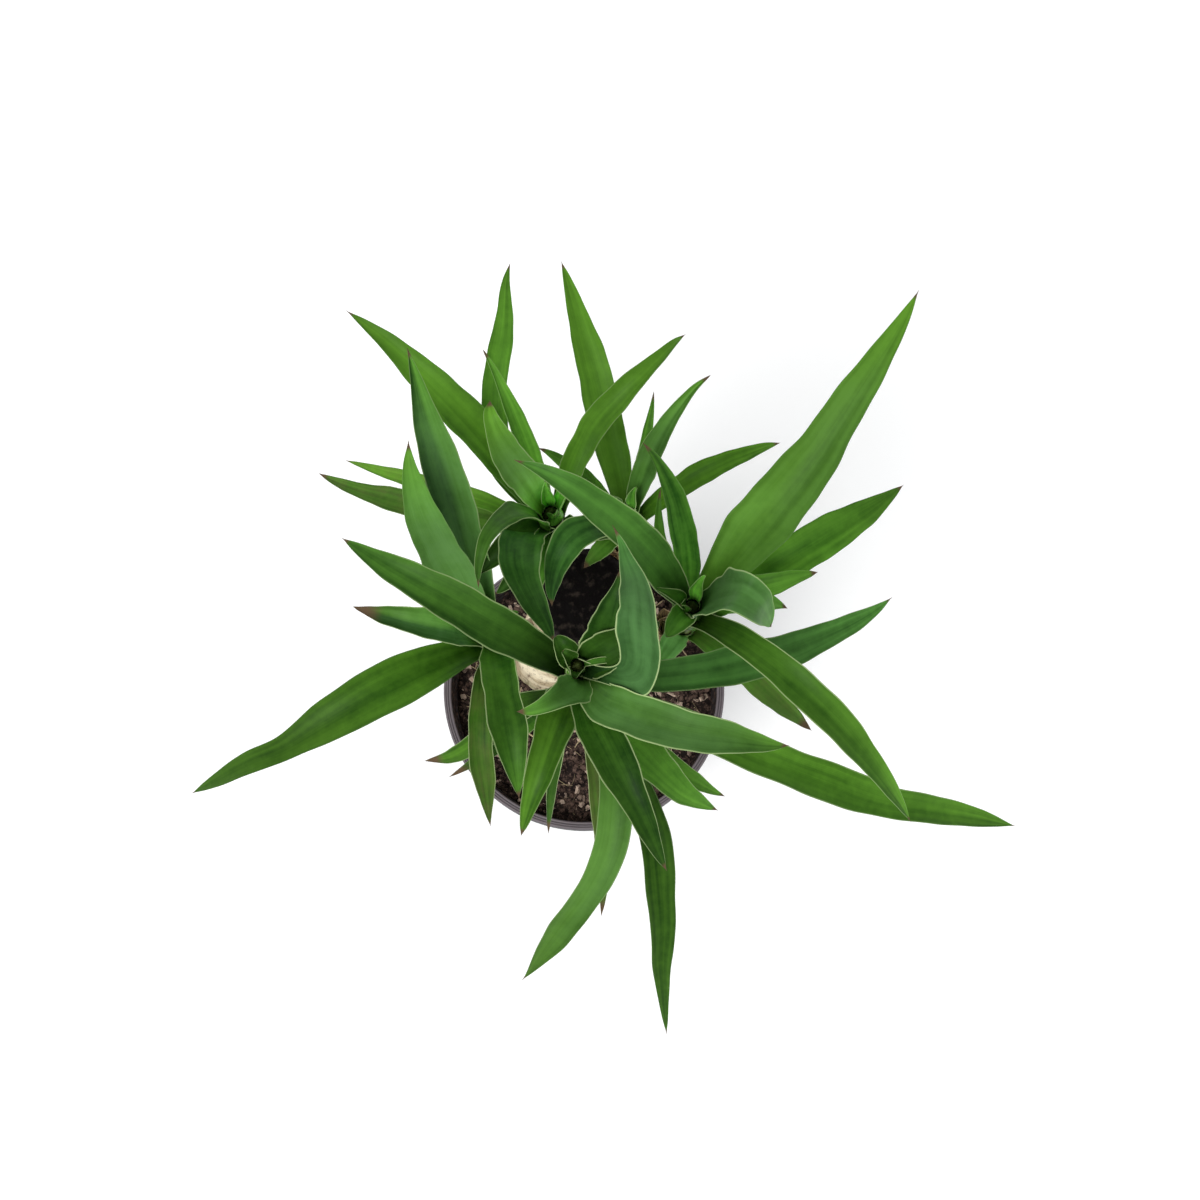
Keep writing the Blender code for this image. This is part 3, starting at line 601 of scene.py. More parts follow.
class Finish:
    """A Principled material that is put together from procedural nodes."""

    def __init__(self, name, roughness=0.5, sheen=0.2):
        self.material = bpy.data.materials.new(name)
        self.material.use_nodes = True
        self.tree = self.material.node_tree
        self.shader = self.tree.nodes["Principled BSDF"]
        self.shader.inputs["Roughness"].default_value = roughness
        self.shader.inputs["Specular IOR Level"].default_value = sheen

    def node(self, kind, **settings):
        """Add a node with some of its settings."""
        node = self.tree.nodes.new(kind)
        for key, value in settings.items():
            setattr(node, key, value)
        return node

    def feed(self, socket, value):
        """Give a socket a constant or the output of another node."""
        if isinstance(value, bpy.types.NodeSocket):
            self.tree.links.new(value, socket)
        elif hasattr(value, "__len__") and len(value) == 3 and socket.type == "RGBA":
            socket.default_value = (*value, 1.0)
        else:
            socket.default_value = value

    def set(self, **inputs):
        """Feed the shader's inputs; an underscore stands for a space in a socket's name."""
        for name, value in inputs.items():
            self.feed(self.shader.inputs[name.replace("_", " ")], value)

    def place(self):
        """Position on the object, in metres."""
        return self.node("ShaderNodeTexCoord").outputs["Object"]

    def stretched(self, x, y, z):
        """Position on the object, stretched along its axes."""
        mapping = self.node("ShaderNodeMapping")
        self.feed(mapping.inputs["Vector"], self.place())
        mapping.inputs["Scale"].default_value = (x, y, z)
        return mapping.outputs["Vector"]

    def chart(self):
        """Position on a leaf: across it from 0 to 1, and along it from 0 to 1."""
        split = self.node("ShaderNodeSeparateXYZ")
        self.feed(split.inputs[0], self.node("ShaderNodeUVMap", uv_map="UVMap").outputs["UV"])
        return split.outputs["X"], split.outputs["Y"]

    def mark(self, name):
        """A number stored on the vertices."""
        return self.node("ShaderNodeAttribute", attribute_name=name).outputs["Fac"]

    def sum(self, *terms):
        """Sum of numbers and sockets, each either a value or a (value, factor) pair."""
        total = 0.0
        for term in terms:
            value, factor = term if isinstance(term, tuple) else (term, 1.0)
            step = self.node("ShaderNodeMath", operation="MULTIPLY_ADD")
            for socket, part in zip(step.inputs, (value, factor, total)):
                self.feed(socket, part)
            total = step.outputs[0]
        return total

    def times(self, a, b):
        """Product of two numbers or sockets."""
        return self.sum((a, b))

    def band(self, value, low, high, to_low=0.0, to_high=1.0):
        """Turn a value from low to high into a smooth number from to_low to to_high."""
        step = self.node("ShaderNodeMapRange", interpolation_type="SMOOTHSTEP")
        for socket, number in zip(step.inputs, (value, low, high, to_low, to_high)):
            self.feed(socket, number)
        return step.outputs["Result"]

    def grain(self, vector, scale, detail=2.0, roughness=0.5):
        """Soft noise about 0.5."""
        texture = self.node("ShaderNodeTexNoise")
        inputs = {"Vector": vector, "Scale": scale, "Detail": detail, "Roughness": roughness}
        for name, value in inputs.items():
            self.feed(texture.inputs[name], value)
        return texture.outputs["Fac"]

    def blade_grain(self, across, along, detail=2.0, roughness=0.5):
        """Soft noise drawn out along a leaf, with its scale either way; no two leaves have the same."""
        joined = self.node("ShaderNodeCombineXYZ")
        x, y = self.chart()
        parts = (self.times(x, across), self.times(y, along), self.mark("seed"))
        for socket, value in zip(joined.inputs, parts):
            self.feed(socket, value)
        return self.grain(joined.outputs[0], 1.0, detail, roughness)

    def blend(self, factor, a, b):
        """One colour over another."""
        mixer = self.node("ShaderNodeMix", data_type="RGBA")
        self.feed(mixer.inputs["Factor"], factor)
        self.feed(mixer.inputs[6], a)
        self.feed(mixer.inputs[7], b)
        return mixer.outputs[2]

    def dimmed(self, colour, factor):
        """A colour with its brightness multiplied."""
        scaler = self.node("ShaderNodeVectorMath", operation="SCALE")
        self.feed(scaler.inputs[0], colour)
        self.feed(scaler.inputs["Scale"], factor)
        return scaler.outputs["Vector"]

    def relief(self, height, distance, strength=1.0):
        """Bump from a height, distance being its depth in metres."""
        bump = self.node("ShaderNodeBump")
        self.feed(bump.inputs["Strength"], strength)
        self.feed(bump.inputs["Distance"], distance)
        self.feed(bump.inputs["Height"], height)
        self.feed(self.shader.inputs["Normal"], bump.outputs["Normal"])


def leaf_finish(colours, name, greens, cools):
    """Skin of a leaf: fine veins along it, cloudy tone, a painted sheen, painted light and shade, a pale
    edge and brown where it dries.

    Its greens and its blue-greens each run from a dark one to a light one.
    """
    finish = Finish(name, sheen=0.06)
    across, along = finish.chart()
    veins = finish.blade_grain(46.0, 3.0, 2.0, 0.6)
    streaks = finish.blade_grain(4.5, 1.6)
    clouds, patches, flecks = (finish.grain(finish.place(), scale, 3.0, 0.6) for scale in (30, 110, 300))
    tone = finish.sum((finish.mark("tone"), 0.42), (veins, 0.22), (streaks, 1.0), (clouds, 0.60))
    tone = finish.sum(tone, (patches, 0.36), (flecks, 0.30), (along, 0.15), -0.81)
    cool = finish.times(finish.mark("cool"), 0.85)
    green = finish.blend(cool, finish.blend(tone, *greens), finish.blend(tone, *cools))
    # Painted sheen: paler grey-green patches where the blade would show a soft reflection.
    sheen_share = finish.band(finish.sum(streaks, (clouds, 0.7), (patches, 0.4)), 0.75, 1.25)
    sheen_share = finish.times(finish.sum((sheen_share, 0.6), 0.3), finish.mark("painted_sheen"))
    green = finish.blend(sheen_share, green, colours.leaf_painted_sheen)
    # Painted light and shade: the leaf's brightness is scaled by its light mark.
    green = finish.dimmed(green, finish.mark("light"))
    off_middle = finish.node("ShaderNodeMath", operation="ABSOLUTE")
    finish.feed(off_middle.inputs[0], finish.sum((across, 2.0), -1.0))
    edge = finish.band(finish.sum(off_middle.outputs[0], (patches, 0.02)), 0.938, 0.982)
    margin = finish.blend(finish.mark("pale"), tint(greens[0], 1.6), colours.leaf_margin)
    green = finish.blend(finish.times(edge, finish.sum((finish.mark("pale"), 0.7), 0.15)), green, margin)
    dryness = finish.band(finish.sum(finish.mark("dry"), (veins, 0.25), (patches, 0.25), -0.25), 0.35, 0.75)
    finish.set(Base_Color=finish.blend(dryness, green, colours.leaf_dry))
    finish.set(Roughness=finish.sum(0.30, (clouds, 0.14), (veins, 0.10), (sheen_share, 0.15), (dryness, 0.25)))
    finish.relief(finish.sum((veins, 0.7), (streaks, 0.5)), 0.16 * MM, 0.55)
    return finish.material


def leaf_finishes(colours):
    """Upper face, lower face and rim of every leaf."""
    cool, pale = tint(colours.leaf_cool), tint(colours.leaf_under)
    greens = (tint(colours.leaf_deep), tint(colours.leaf_fresh))
    upper = leaf_finish(colours, "leaf_upper", greens, (cool * 0.3, cool * 1.5))
    under = leaf_finish(colours, "leaf_under", (pale * 0.5, pale * 1.2), (pale * 0.5, pale * 0.9))
    rim = Finish("leaf_rim", 0.45)
    patches = rim.grain(rim.place(), 90.0)
    horny = rim.blend(rim.band(patches, 0.35, 0.65), tint(colours.leaf_margin, 0.7), colours.leaf_margin)
    edge = rim.blend(rim.mark("pale"), tint(colours.leaf_dry, (0.7, 1.1, 0.5)), horny)
    brown = rim.band(rim.sum(patches, rim.mark("dry")), 0.62, 0.8)
    rim.set(Base_Color=rim.blend(brown, edge, tint(colours.leaf_dry, 1.8)))
    rim.relief(rim.grain(rim.place(), 900.0), 0.05 * MM)
    return upper, under, rim.material


def shoot_finish(colours):
    """Smooth ringed green stem that turns olive and corky towards the cane, with painted shade at its top in
    the crown.
    """
    finish = Finish("shoot_skin")
    age = finish.mark("age")
    clouds = finish.grain(finish.place(), 120.0, 3.0)
    specks = finish.grain(finish.place(), 900.0)
    fibres = finish.grain(finish.stretched(1.0, 1.0, 0.25), 420.0, 4.0, 0.6)
    older = finish.band(finish.sum(age, (clouds, 0.5), -0.25), 0.35, 0.95)
    green = finish.blend(finish.band(clouds, 0.3, 0.7), tint(colours.shoot_green, 0.6), colours.shoot_green)
    olive = tint(colours.shoot_olive)
    corky = finish.blend(finish.band(fibres, 0.35, 0.65), olive * (0.7, 0.7, 0.6), olive * (1.9, 1.8, 1.9))
    skin = finish.blend(older, green, corky)
    foot = finish.band(finish.sum(age, (clouds, 0.12), -0.06), 0.88, 0.97, 0.0, 0.8)
    skin = finish.blend(foot, skin, tint(colours.bark_pale, (0.42, 0.38, 0.34)))
    ring = finish.band(finish.mark("ring"), 0.35, 1.0, 0.0, 0.8)
    skin = finish.blend(ring, skin, tint(colours.scale_tan, 0.45))
    # Painted shade: the top of the stem is darker where it sits deep in the crown.
    skin = finish.dimmed(skin, finish.band(age, 0.02, 0.12, 0.75, 1.0))
    finish.set(Base_Color=finish.blend(finish.band(specks, 0.62, 0.72, 0.0, 0.4), skin, colours.scale_tan))
    finish.set(Roughness=finish.sum(0.42, (older, 0.3), (specks, 0.1)))
    finish.relief(finish.sum(specks, clouds, fibres), 0.3 * MM, 0.8)
    return finish.material


def scale_finish(colours):
    """Papery dead scale with fibres along it."""
    finish = Finish("dry_scale", 0.8)
    fibres = finish.blade_grain(40.0, 1.0, 3.0)
    tan = finish.blend(finish.band(fibres, 0.35, 0.65), tint(colours.scale_tan, 0.35), colours.scale_tan)
    finish.set(Base_Color=tan)
    finish.relief(fibres, 0.2 * MM)
    return finish.material


def bark_finish(colours):
    """Corky bark: pale plates between darker cracks, with grey and green weathering."""
    finish = Finish("cane_bark", 0.85, 0.12)
    plates = finish.grain(finish.stretched(1.0, 1.0, 0.35), 210.0, 5.0, 0.65)
    fissures = finish.grain(finish.stretched(1.0, 1.0, 0.10), 420.0, 5.0, 0.65)
    fine = finish.grain(finish.place(), 1400.0, 3.0)
    clouds = finish.grain(finish.place(), 45.0, 3.0)
    pale, dark = tint(colours.bark_pale), tint(colours.bark_dark)
    worn = finish.blend(finish.band(clouds, 0.35, 0.65), pale, pale * (0.62, 0.56, 0.48))
    depth = finish.sum((finish.mark("crack"), 0.50), (plates, 0.55), (fissures, 0.95), (fine, 0.25), -0.62)
    skin = finish.blend(finish.band(depth, 0.30, 0.72), worn, dark)
    pits = finish.band(finish.grain(finish.place(), 480.0, 2.0, 0.6), 0.62, 0.72, 0.0, 0.75)
    skin = finish.blend(pits, skin, dark * 0.6)
    mossy = finish.band(finish.grain(finish.place(), 70.0), 0.58, 0.72, 0.0, 0.35)
    finish.set(Base_Color=finish.blend(mossy, skin, colours.moss))
    finish.set(Roughness=finish.sum(0.72, (plates, 0.2)))
    finish.relief(finish.sum((plates, -0.8), (fissures, -0.6), (fine, 0.3), (depth, -0.5)), 0.6 * MM, 0.8)
    return finish.material


def wax_finish(colours):
    """Black sealing wax, dull and pitted on top, with grey and plum streaks where it has run."""
    finish = Finish("sealing_wax", sheen=0.05)
    lumps = finish.grain(finish.place(), 240.0, 4.0, 0.6)
    fine = finish.grain(finish.place(), 1500.0, 3.0)
    runs = finish.grain(finish.stretched(5.0, 5.0, 1.0), 130.0, 3.0)
    black = finish.blend(finish.band(lumps, 0.50, 0.75), colours.wax, colours.wax_dull)
    smear = finish.times(finish.mark("run"), finish.band(runs, 0.40, 0.60))
    finish.set(Base_Color=finish.blend(smear, black, colours.wax_smear))
    finish.set(Roughness=finish.sum(0.50, (lumps, 0.35), (finish.mark("run"), -0.12)))
    finish.relief(finish.sum(lumps, (fine, 0.25)), 0.5 * MM, 0.8)
    return finish.material


def peat_finish(colours, name, pale, pale_share):
    """Moist fibrous peat, or litter of its kind whose tint differs from piece to piece."""
    finish = Finish(name, 0.92, 0.12)
    clods = finish.grain(finish.place(), 330.0, 5.0, 0.7)
    fine = finish.grain(finish.place(), 2300.0, 3.0)
    damp = finish.grain(finish.place(), 60.0)
    dryness = finish.band(finish.sum(clods, (fine, 0.4), (finish.mark("tint"), 0.22), -0.2), 0.44, 0.68)
    brown = finish.blend(dryness, colours.peat_dark, colours.peat_brown)
    brown = finish.blend(finish.band(damp, 0.45, 0.7, 0.0, 0.6), brown, colours.peat_dark)
    chosen = finish.band(finish.sum(finish.mark("tint"), (fine, 0.3), -0.15), 1 - pale_share, 1.0)
    finish.set(Base_Color=finish.blend(chosen, brown, pale))
    finish.set(Roughness=finish.sum(0.7, (clods, 0.3)))
    finish.relief(finish.sum(clods, (fine, 0.4)), 1.0 * MM, 0.9)
    return finish.material


def plastic_finish(colours):
    """Charcoal moulded plastic: fine matt grain, faint scuffs, a painted highlight on the top of its rim,
    and dried peat splashed inside.
    """
    finish = Finish("pot_plastic")
    grain = finish.grain(finish.place(), 2600.0)
    haze = finish.grain(finish.place(), 60.0, 4.0, 0.6)
    scuffs = finish.grain(finish.stretched(1.0, 1.0, 12.0), 120.0, 3.0)
    splashes = finish.grain(finish.place(), 260.0, 4.0)
    clods = finish.grain(finish.place(), 520.0, 4.0)
    grey = tint(colours.pot_grey)
    skin = finish.blend(finish.band(haze, 0.3, 0.75), grey, grey * 1.7)
    skin = finish.blend(finish.band(scuffs, 0.60, 0.75, 0.0, 0.3), skin, grey * 4.0)
    # Painted highlight: the worn mark paints the top of the rim paler, as it catches the light.
    rim_highlight = finish.times(finish.mark("worn"), finish.band(haze, 0.1, 0.7, 0.6, 1.0))
    skin = finish.blend(rim_highlight, skin, colours.pot_rim_highlight)
    dust = finish.times(finish.mark("soiled"), finish.band(splashes, 0.35, 0.55))
    soil = finish.blend(finish.band(clods, 0.5, 0.7), colours.peat_dark, colours.peat_brown)
    finish.set(Base_Color=finish.blend(dust, skin, soil))
    finish.set(Roughness=finish.sum(0.36, (haze, 0.22), (grain, 0.12), (dust, 0.3)))
    finish.relief(finish.sum((grain, 0.5), (haze, 0.6)), 0.12 * MM, 0.6)
    return finish.material


def floor_finish(colours):
    """Plain pale floor, lit a little from below so that shadows on it stay soft."""
    finish = Finish("floor", 0.9)
    finish.set(Base_Color=colours.floor, Emission_Color=colours.floor, Emission_Strength=0.13)
    return finish.material


# Leaves -------------------------------------------------------------------------------------------

BASE_ROWS = 8  # rows of the path down a leaf's clasping base
BLADE_ROWS = 61  # rows of the path along its blade
EASED_ROWS = 14  # rows over which the turn from the base into the blade is eased
EASING_PASSES = 6
OFF_SHOOT = 0.7 * MM  # how far a leaf base stands off its shoot
YOUNG_OFF_SHOOT = 0.6 * MM  # how far a young leaf begins outside its shoot
YOUNG_ROWS = 13
# Painted light and shade of the young leaves deep in the crowns, as a brightness from base to tip.
YOUNG_PAINTED_LIGHT = np.array((3.6, 1.6, 1.0))  # brightness of a young leaf from its base to its tip
YOUNG_HABIT = {"tone": -0.3, "cool": 0.3, "pale": 1.0, "wave": 0.5, "channel": (1.8, 2.2)}


def blade_width(at):
    """Width of a leaf against its widest, from base (0) to tip (1)."""
    widening = 0.56 + 0.44 * np.sin(np.clip((at - 0.03) / 0.42, 0, 1) * pi / 2)
    clasp = 0.16 * (1 - smoothstep(0.0, 0.09, at))
    taper = 1 - np.clip((at - 0.45) / 0.54, 0, 1) ** 1.75
    needle = 0.035 * smoothstep(1.0, 0.93, at)
    return (widening + clasp) * taper + needle * (at < 1)


def sheath_rows(stem, start, sheath, rows):
    """Path and left direction of a leaf base down the side of its shoot, lowest first, and its radius."""
    middle, radius = stem
    nearest = np.linalg.norm(middle - start, axis=1).argmin()
    below = along_path(middle[nearest:])
    reach = min(sheath, below[-1] * 0.9)
    distance = np.linspace(reach, reach / rows, rows)
    centre = on_path(middle[nearest:], below, distance)
    around = np.interp(distance, below, radius[nearest:]) + OFF_SHOOT
    upwards = unit(middle[max(nearest - 1, 0)] - middle[min(nearest + 1, len(middle) - 1)])
    out = start - middle[nearest]
    out = unit(out - upwards * (out @ upwards))
    return centre + out * around[:, None], np.tile(np.cross(upwards, out), (rows, 1)), around[-1]


def eased(rows):
    """Rows of vectors with the turn from the base into the blade evened out."""
    for _ in range(EASING_PASSES):
        before, after = rows[: EASED_ROWS - 1], rows[2 : EASED_ROWS + 1]
        rows[1:EASED_ROWS] = (before + 2 * rows[1:EASED_ROWS] + after) / 4
    return rows


def leaf_path(spine, stem, sheath):
    """Path and left direction of a whole leaf, how far up its blade begins, and its base's radius."""
    middle, lefts, _ = spine
    rows = np.linspace(0, len(middle) - 1, BLADE_ROWS)
    blade = curve_through(middle, rows)
    base, base_lefts, wrap = sheath_rows(stem, blade[0], sheath, BASE_ROWS)
    path = np.concatenate([base, blade])
    sideways = np.concatenate([base_lefts, curve_through(lefts, rows)])
    begin = along_path(path)[BASE_ROWS]
    return eased(path), eased(sideways), begin, wrap


def leaf_axes(path, sideways, distance, at, habit):
    """Middle line of a leaf at distances along its path, with the directions to its left and above it."""
    travelled = along_path(path)
    centre = on_path(path, travelled, distance)
    ahead = on_path(path, travelled, distance + 1 * MM)
    behind = on_path(path, travelled, distance - 1 * MM)
    onward = unit(ahead - behind)
    left = square_to(onward, on_path(sideways, travelled, distance))
    centre = centre + left * spread([0, *habit.get("shift", (0, 0))], at)[:, None] * MM
    level_left = np.cross((0, 0, 1), onward)
    steepness = np.linalg.norm(level_left, axis=1)
    turn = habit.get("level", 0) * smoothstep(0.08, 0.35, at) * smoothstep(0.1, 0.4, steepness)
    left = left + (level_left / np.maximum(steepness, 0.01)[:, None] - left) * turn[:, None]
    left = square_to(onward, left)
    return centre, left, np.cross(onward, left)


def edge_wander(aside, at, phases):
    """How far the edges of a blade wander out and in, against its width."""
    swing = np.where(aside > 0, phases[0], phases[1])
    ripple = np.where(aside > 0, phases[2], phases[3])
    edge = 0.045 * np.sin(at * 2 * pi * 2.1 + swing) + 0.028 * np.sin(at * 2 * pi * 4.7 + ripple)
    return edge + 0.014 * np.sin(at * 2 * pi * 9.3 + swing + ripple)


def leaf_section(aside, at, full_width, wrap, base_share, habit, phases):
    """How far to the right of its middle line, and how far above it, each point of a leaf lies."""
    wander = habit.get("wave", 1.0)
    half = full_width / 2 * blade_width(np.clip(at, 0, 1))
    half *= spread([1, *habit.get("width", (1, 1))], at)
    edge = wander * edge_wander(aside, at, phases)
    half *= 1 + edge * smoothstep(0.05, 0.3, at) * smoothstep(1.0, 0.8, at)
    wrapped = 1.45 * wrap
    half = np.where(at < 0, half + (wrapped - half) * smoothstep(0.0, -base_share, at), half)

    depth_base, depth_tip = habit.get("channel", (1.0, 1.0))
    depth = 0.15 * (depth_base + (depth_tip - depth_base) * smoothstep(0.2, 0.9, at))
    bend = 2 * np.arctan(2 * depth)
    bend = (half / wrap) + (bend - half / wrap) * smoothstep(0.0, 0.22, at)
    bend = np.maximum(bend, 0.02)
    out = np.sin(bend * aside) / bend * half
    rise = (1 - np.cos(bend * aside)) / bend * half
    ruffle = 0.05 * full_width * wander * np.abs(aside) ** 2
    ruffle = ruffle * smoothstep(0.1, 0.4, at) * smoothstep(1.0, 0.7, at)
    rise += ruffle * np.sin(at * 2 * pi * 2.6 + np.where(aside > 0, phases[4], phases[5]))
    return out, rise


def paint_leaf(leaf, aside, at, blade_length, habit, phases):
    """Store on a leaf the marks that its finish reads."""
    dry_length = habit.get("dry_tip", 7.0) * MM
    to_tip = (1 - at) * blade_length
    dry = np.maximum(np.clip(1.15 - to_tip / dry_length, 0, 1), habit.get("old", 0.0))
    paint(leaf, "dry", dry + 0.35 * smoothstep(0.02, -0.05, at))
    # Painted light and shade: one half of the blade lighter and the other darker, as its fold meets the
    # light.
    left_tone, right_tone = habit.get("shaded_halves", (0, 0))
    side = smoothstep(-0.22, 0.22, aside + 0.1 * np.sin(at * 9 + phases[0]))
    shaded_halves = (left_tone + (right_tone - left_tone) * side) * smoothstep(0.15, 0.4, at)
    paint(leaf, "tone", habit.get("tone", 0.0) + shaded_halves + 0.35 * smoothstep(0.05, -0.1, at))
    # Painted shade: each leaf darkens towards its base in the crown, and its light mark paints it lighter or
    # darker as light falls on it.
    usual = 0.5 + 0.5 * smoothstep(0.0, 0.35, at)
    paint(leaf, "light", usual * spread(habit.get("light", (1, 1, 1)), at))
    paint(leaf, "cool", habit.get("cool", 0.2))
    # Painted sheen, strongest in the middle of the blade.
    paint(leaf, "painted_sheen", habit.get("painted_sheen", 0.0) * smoothstep(0.05, 0.25, at) * smoothstep(1.0, 0.6, at))
    paint(leaf, "pale", habit.get("pale", 0.6) * (1 - 0.5 * np.clip(at, 0, 1)))


def thicken_leaf(leaf, aside, at, sizes):
    """Close the tip of a blade and give it a wall that thins towards its edges and its tip."""
    thin = leaf.vertex_groups.new(name="thickness")
    weights = (1 - (1 - sizes.leaf_edge) * np.abs(aside) ** 3) * (1 - 0.45 * np.clip(at, 0, 1))
    for vertex, weight in enumerate(weights):
        thin.add([vertex], float(weight), "REPLACE")
    with editing(leaf):
        bpy.ops.mesh.remove_doubles(threshold=WELD)
    wall = thicken(leaf, sizes.leaf_thickness)
    wall.vertex_group = thin.name
    wall.material_offset = 1
    wall.material_offset_rim = 2
    apply_modifiers(leaf)


def grow_leaf(name, spine, stem, habit, sizes, rng):
    """One leaf: a grid bent along its spine, with a clasping base, wandering edges and its marks."""
    path, sideways, begin, wrap = leaf_path(spine, stem, sizes.sheath)
    whole_length = along_path(path)[-1]
    blade_length = whole_length - begin
    deselect_all()
    bpy.ops.mesh.primitive_grid_add(
        x_subdivisions=sizes.leaf_across, y_subdivisions=sizes.leaf_along, size=1, calc_uvs=True
    )
    leaf = new_piece(name)
    flat = points_of(leaf)
    aside, upto = flat[:, 0] * 2, flat[:, 1] + 0.5
    distance = upto * whole_length
    at = (distance - begin) / blade_length
    centre, left, above = leaf_axes(path, sideways, distance, at, habit)
    phases = rng.uniform(0, 2 * pi, 6)
    out, rise = leaf_section(aside, at, spine[2], wrap, sizes.sheath / blade_length, habit, phases)
    place_points(leaf, centre - left * out[:, None] + above * rise[:, None])
    paint_leaf(leaf, aside, at, blade_length, habit, phases)
    paint(leaf, "seed", float(rng.uniform(0, 40)))
    thicken_leaf(leaf, aside, at, sizes)
    smooth(leaf, 50)
    return leaf


def young_spine(stem, plan):
    """Spine of a young leaf, which the model leaves out, by the same plan as the others."""
    drop, bearing, reach, rise, arch, bow, width = plan[:7]
    middle, radius = stem
    row = round(np.interp(drop * MM, along_path(middle), range(len(middle))))
    outwards = np.array((cos(radians(bearing)), sin(radians(bearing)), 0.0))
    left = np.array((-outwards[1], outwards[0], 0.0))
    up = np.array((0.0, 0.0, 1.0))
    start = middle[row] + outwards * (radius[row] + YOUNG_OFF_SHOOT)
    lead_out = start + (outwards * 0.25 * reach + left * bow + up * (0.25 * rise + 1.6 * arch)) * MM
    lead_in = start + (outwards * 0.7 * reach + left * 1.6 * bow + up * (0.7 * rise + 1.07 * arch)) * MM
    end = start + (outwards * reach + up * rise) * MM
    t = np.linspace(0, 1, YOUNG_ROWS)[:, None]
    path = start * (1 - t) ** 3 + lead_out * 3 * (1 - t) ** 2 * t
    path = path + lead_in * 3 * (1 - t) * t**2 + end * t**3
    return path, np.tile(left, (YOUNG_ROWS, 1)), width * MM


class YUCCA_OT_leaves(bpy.types.Operator):
    """Grow every full leaf over its solid in the model"""

    bl_idname = "yucca.leaves"
    bl_label = "Leaves"

    def execute(self, context):
        sizes = context.scene.yucca_sizes
        finishes = leaf_finishes(context.scene.yucca_colours)
        rng = np.random.default_rng(4)
        for shoot in SHOOT_NAMES:
            stem = shoot_solid(shoot)
            for node in sorted(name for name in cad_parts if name.startswith(f"leaf_{shoot}_")):
                spine = leaf_solid(node, stem[0][0])
                leaf = grow_leaf(f"{node}_blade", spine, stem, LEAF_HABITS.get(node, {}), sizes, rng)
                hand_over(leaf, finishes, "leaf_green", node)
        return {"FINISHED"}


class YUCCA_OT_young_leaves(bpy.types.Operator):
    """Grow the young folded leaves in the heart of each crown"""

    bl_idname = "yucca.young_leaves"
    bl_label = "Young leaves"

    def execute(self, context):
        sizes = context.scene.yucca_sizes
        finishes = [bpy.data.materials[name] for name in ("leaf_upper", "leaf_under", "leaf_rim")]
        rng = np.random.default_rng(9)
        for shoot, plans in YOUNG_LEAVES.items():
            stem = shoot_solid(shoot)
            for number, plan in enumerate(plans, start=1):
                habit = {**YOUNG_HABIT, "light": YOUNG_PAINTED_LIGHT * plan[7], "dry_tip": plan[8]}
                name = f"young_leaf_{shoot}_{number}"
                leaf = grow_leaf(name, young_spine(stem, plan), stem, habit, sizes, rng)
                hand_over(leaf, finishes, "leaf_green")
        return {"FINISHED"}


# Shoots -------------------------------------------------------------------------------------------

RING_PITCH = 5.2 * MM  # from ring to ring of a shoot
SHOOT_ROWS = 110
SHOOT_SIDES = 28
SCALE_STEP = 9.0  # millimetres from scale to scale
SCALE_TURN = 137.5  # degrees from scale to scale, as leaves grow
SCALE_HABIT = {"channel": (2.4, 1.6), "wave": 1.5, "dry_tip": 20.0}


def cut_cylinder(name, sides, rows):
    """An upright cylinder of radius and height one, cut into rows, yet to be given its shape."""
    deselect_all()
    bpy.ops.mesh.primitive_cylinder_add(vertices=sides, radius=1, depth=1, end_fill_type="TRIFAN")
    cylinder = new_piece(name)
    cut_across(cylinder, 2, rows - 1)
    return cylinder


def stem_tube(name, stem):
    """A ringed stem: a cylinder bent along the shoot's middle line, flared where it leaves the cane."""
    middle, radius = stem
    travelled = along_path(middle)
    tube = cut_cylinder(name, SHOOT_SIDES, SHOOT_ROWS)
    plain = points_of(tube)
    distance = (0.5 - plain[:, 2]) * travelled[-1]
    centre = on_path(middle, travelled, distance)
    ahead = on_path(middle, travelled, distance - 2 * MM)
    behind = on_path(middle, travelled, distance + 2 * MM)
    upwards = unit(ahead - behind)
    sideways = unit(np.cross(middle[0] - middle[-1], (0, 0, 1)))
    across = unit(sideways - upwards * (upwards @ sideways)[:, None])
    over = np.cross(across, upwards)
    left_to_cane = travelled[-1] - distance
    ring = np.maximum(0, np.cos(distance / RING_PITCH * 2 * pi)) ** 6
    ring = ring * smoothstep(3 * MM, 5 * MM, distance)
    swell = np.interp(distance, travelled, radius) * (1 + 0.035 * ring)
    swell += 2.6 * MM * smoothstep(9 * MM, 0.0, left_to_cane)
    swell *= 0.12 + 0.88 * np.sqrt(np.clip(distance / (6 * MM), 0, 1))
    centre = centre + (centre - ahead) * 1.2 * smoothstep(1.5 * MM, 0.0, left_to_cane)[:, None]
    lumps = np.array([noise.noise(Vector(point) * 160) for point in centre + plain * 9 * MM]) * 0.35 * MM
    swell = (swell + lumps * smoothstep(0.0, 8 * MM, distance))[:, None]
    place_points(tube, centre + (across * plain[:, :1] + over * plain[:, 1:2]) * swell)
    paint(tube, "age", np.clip(distance / travelled[-1], 0, 1))
    paint(tube, "ring", ring)
    clean(tube)
    smooth(tube, 60)
    return tube


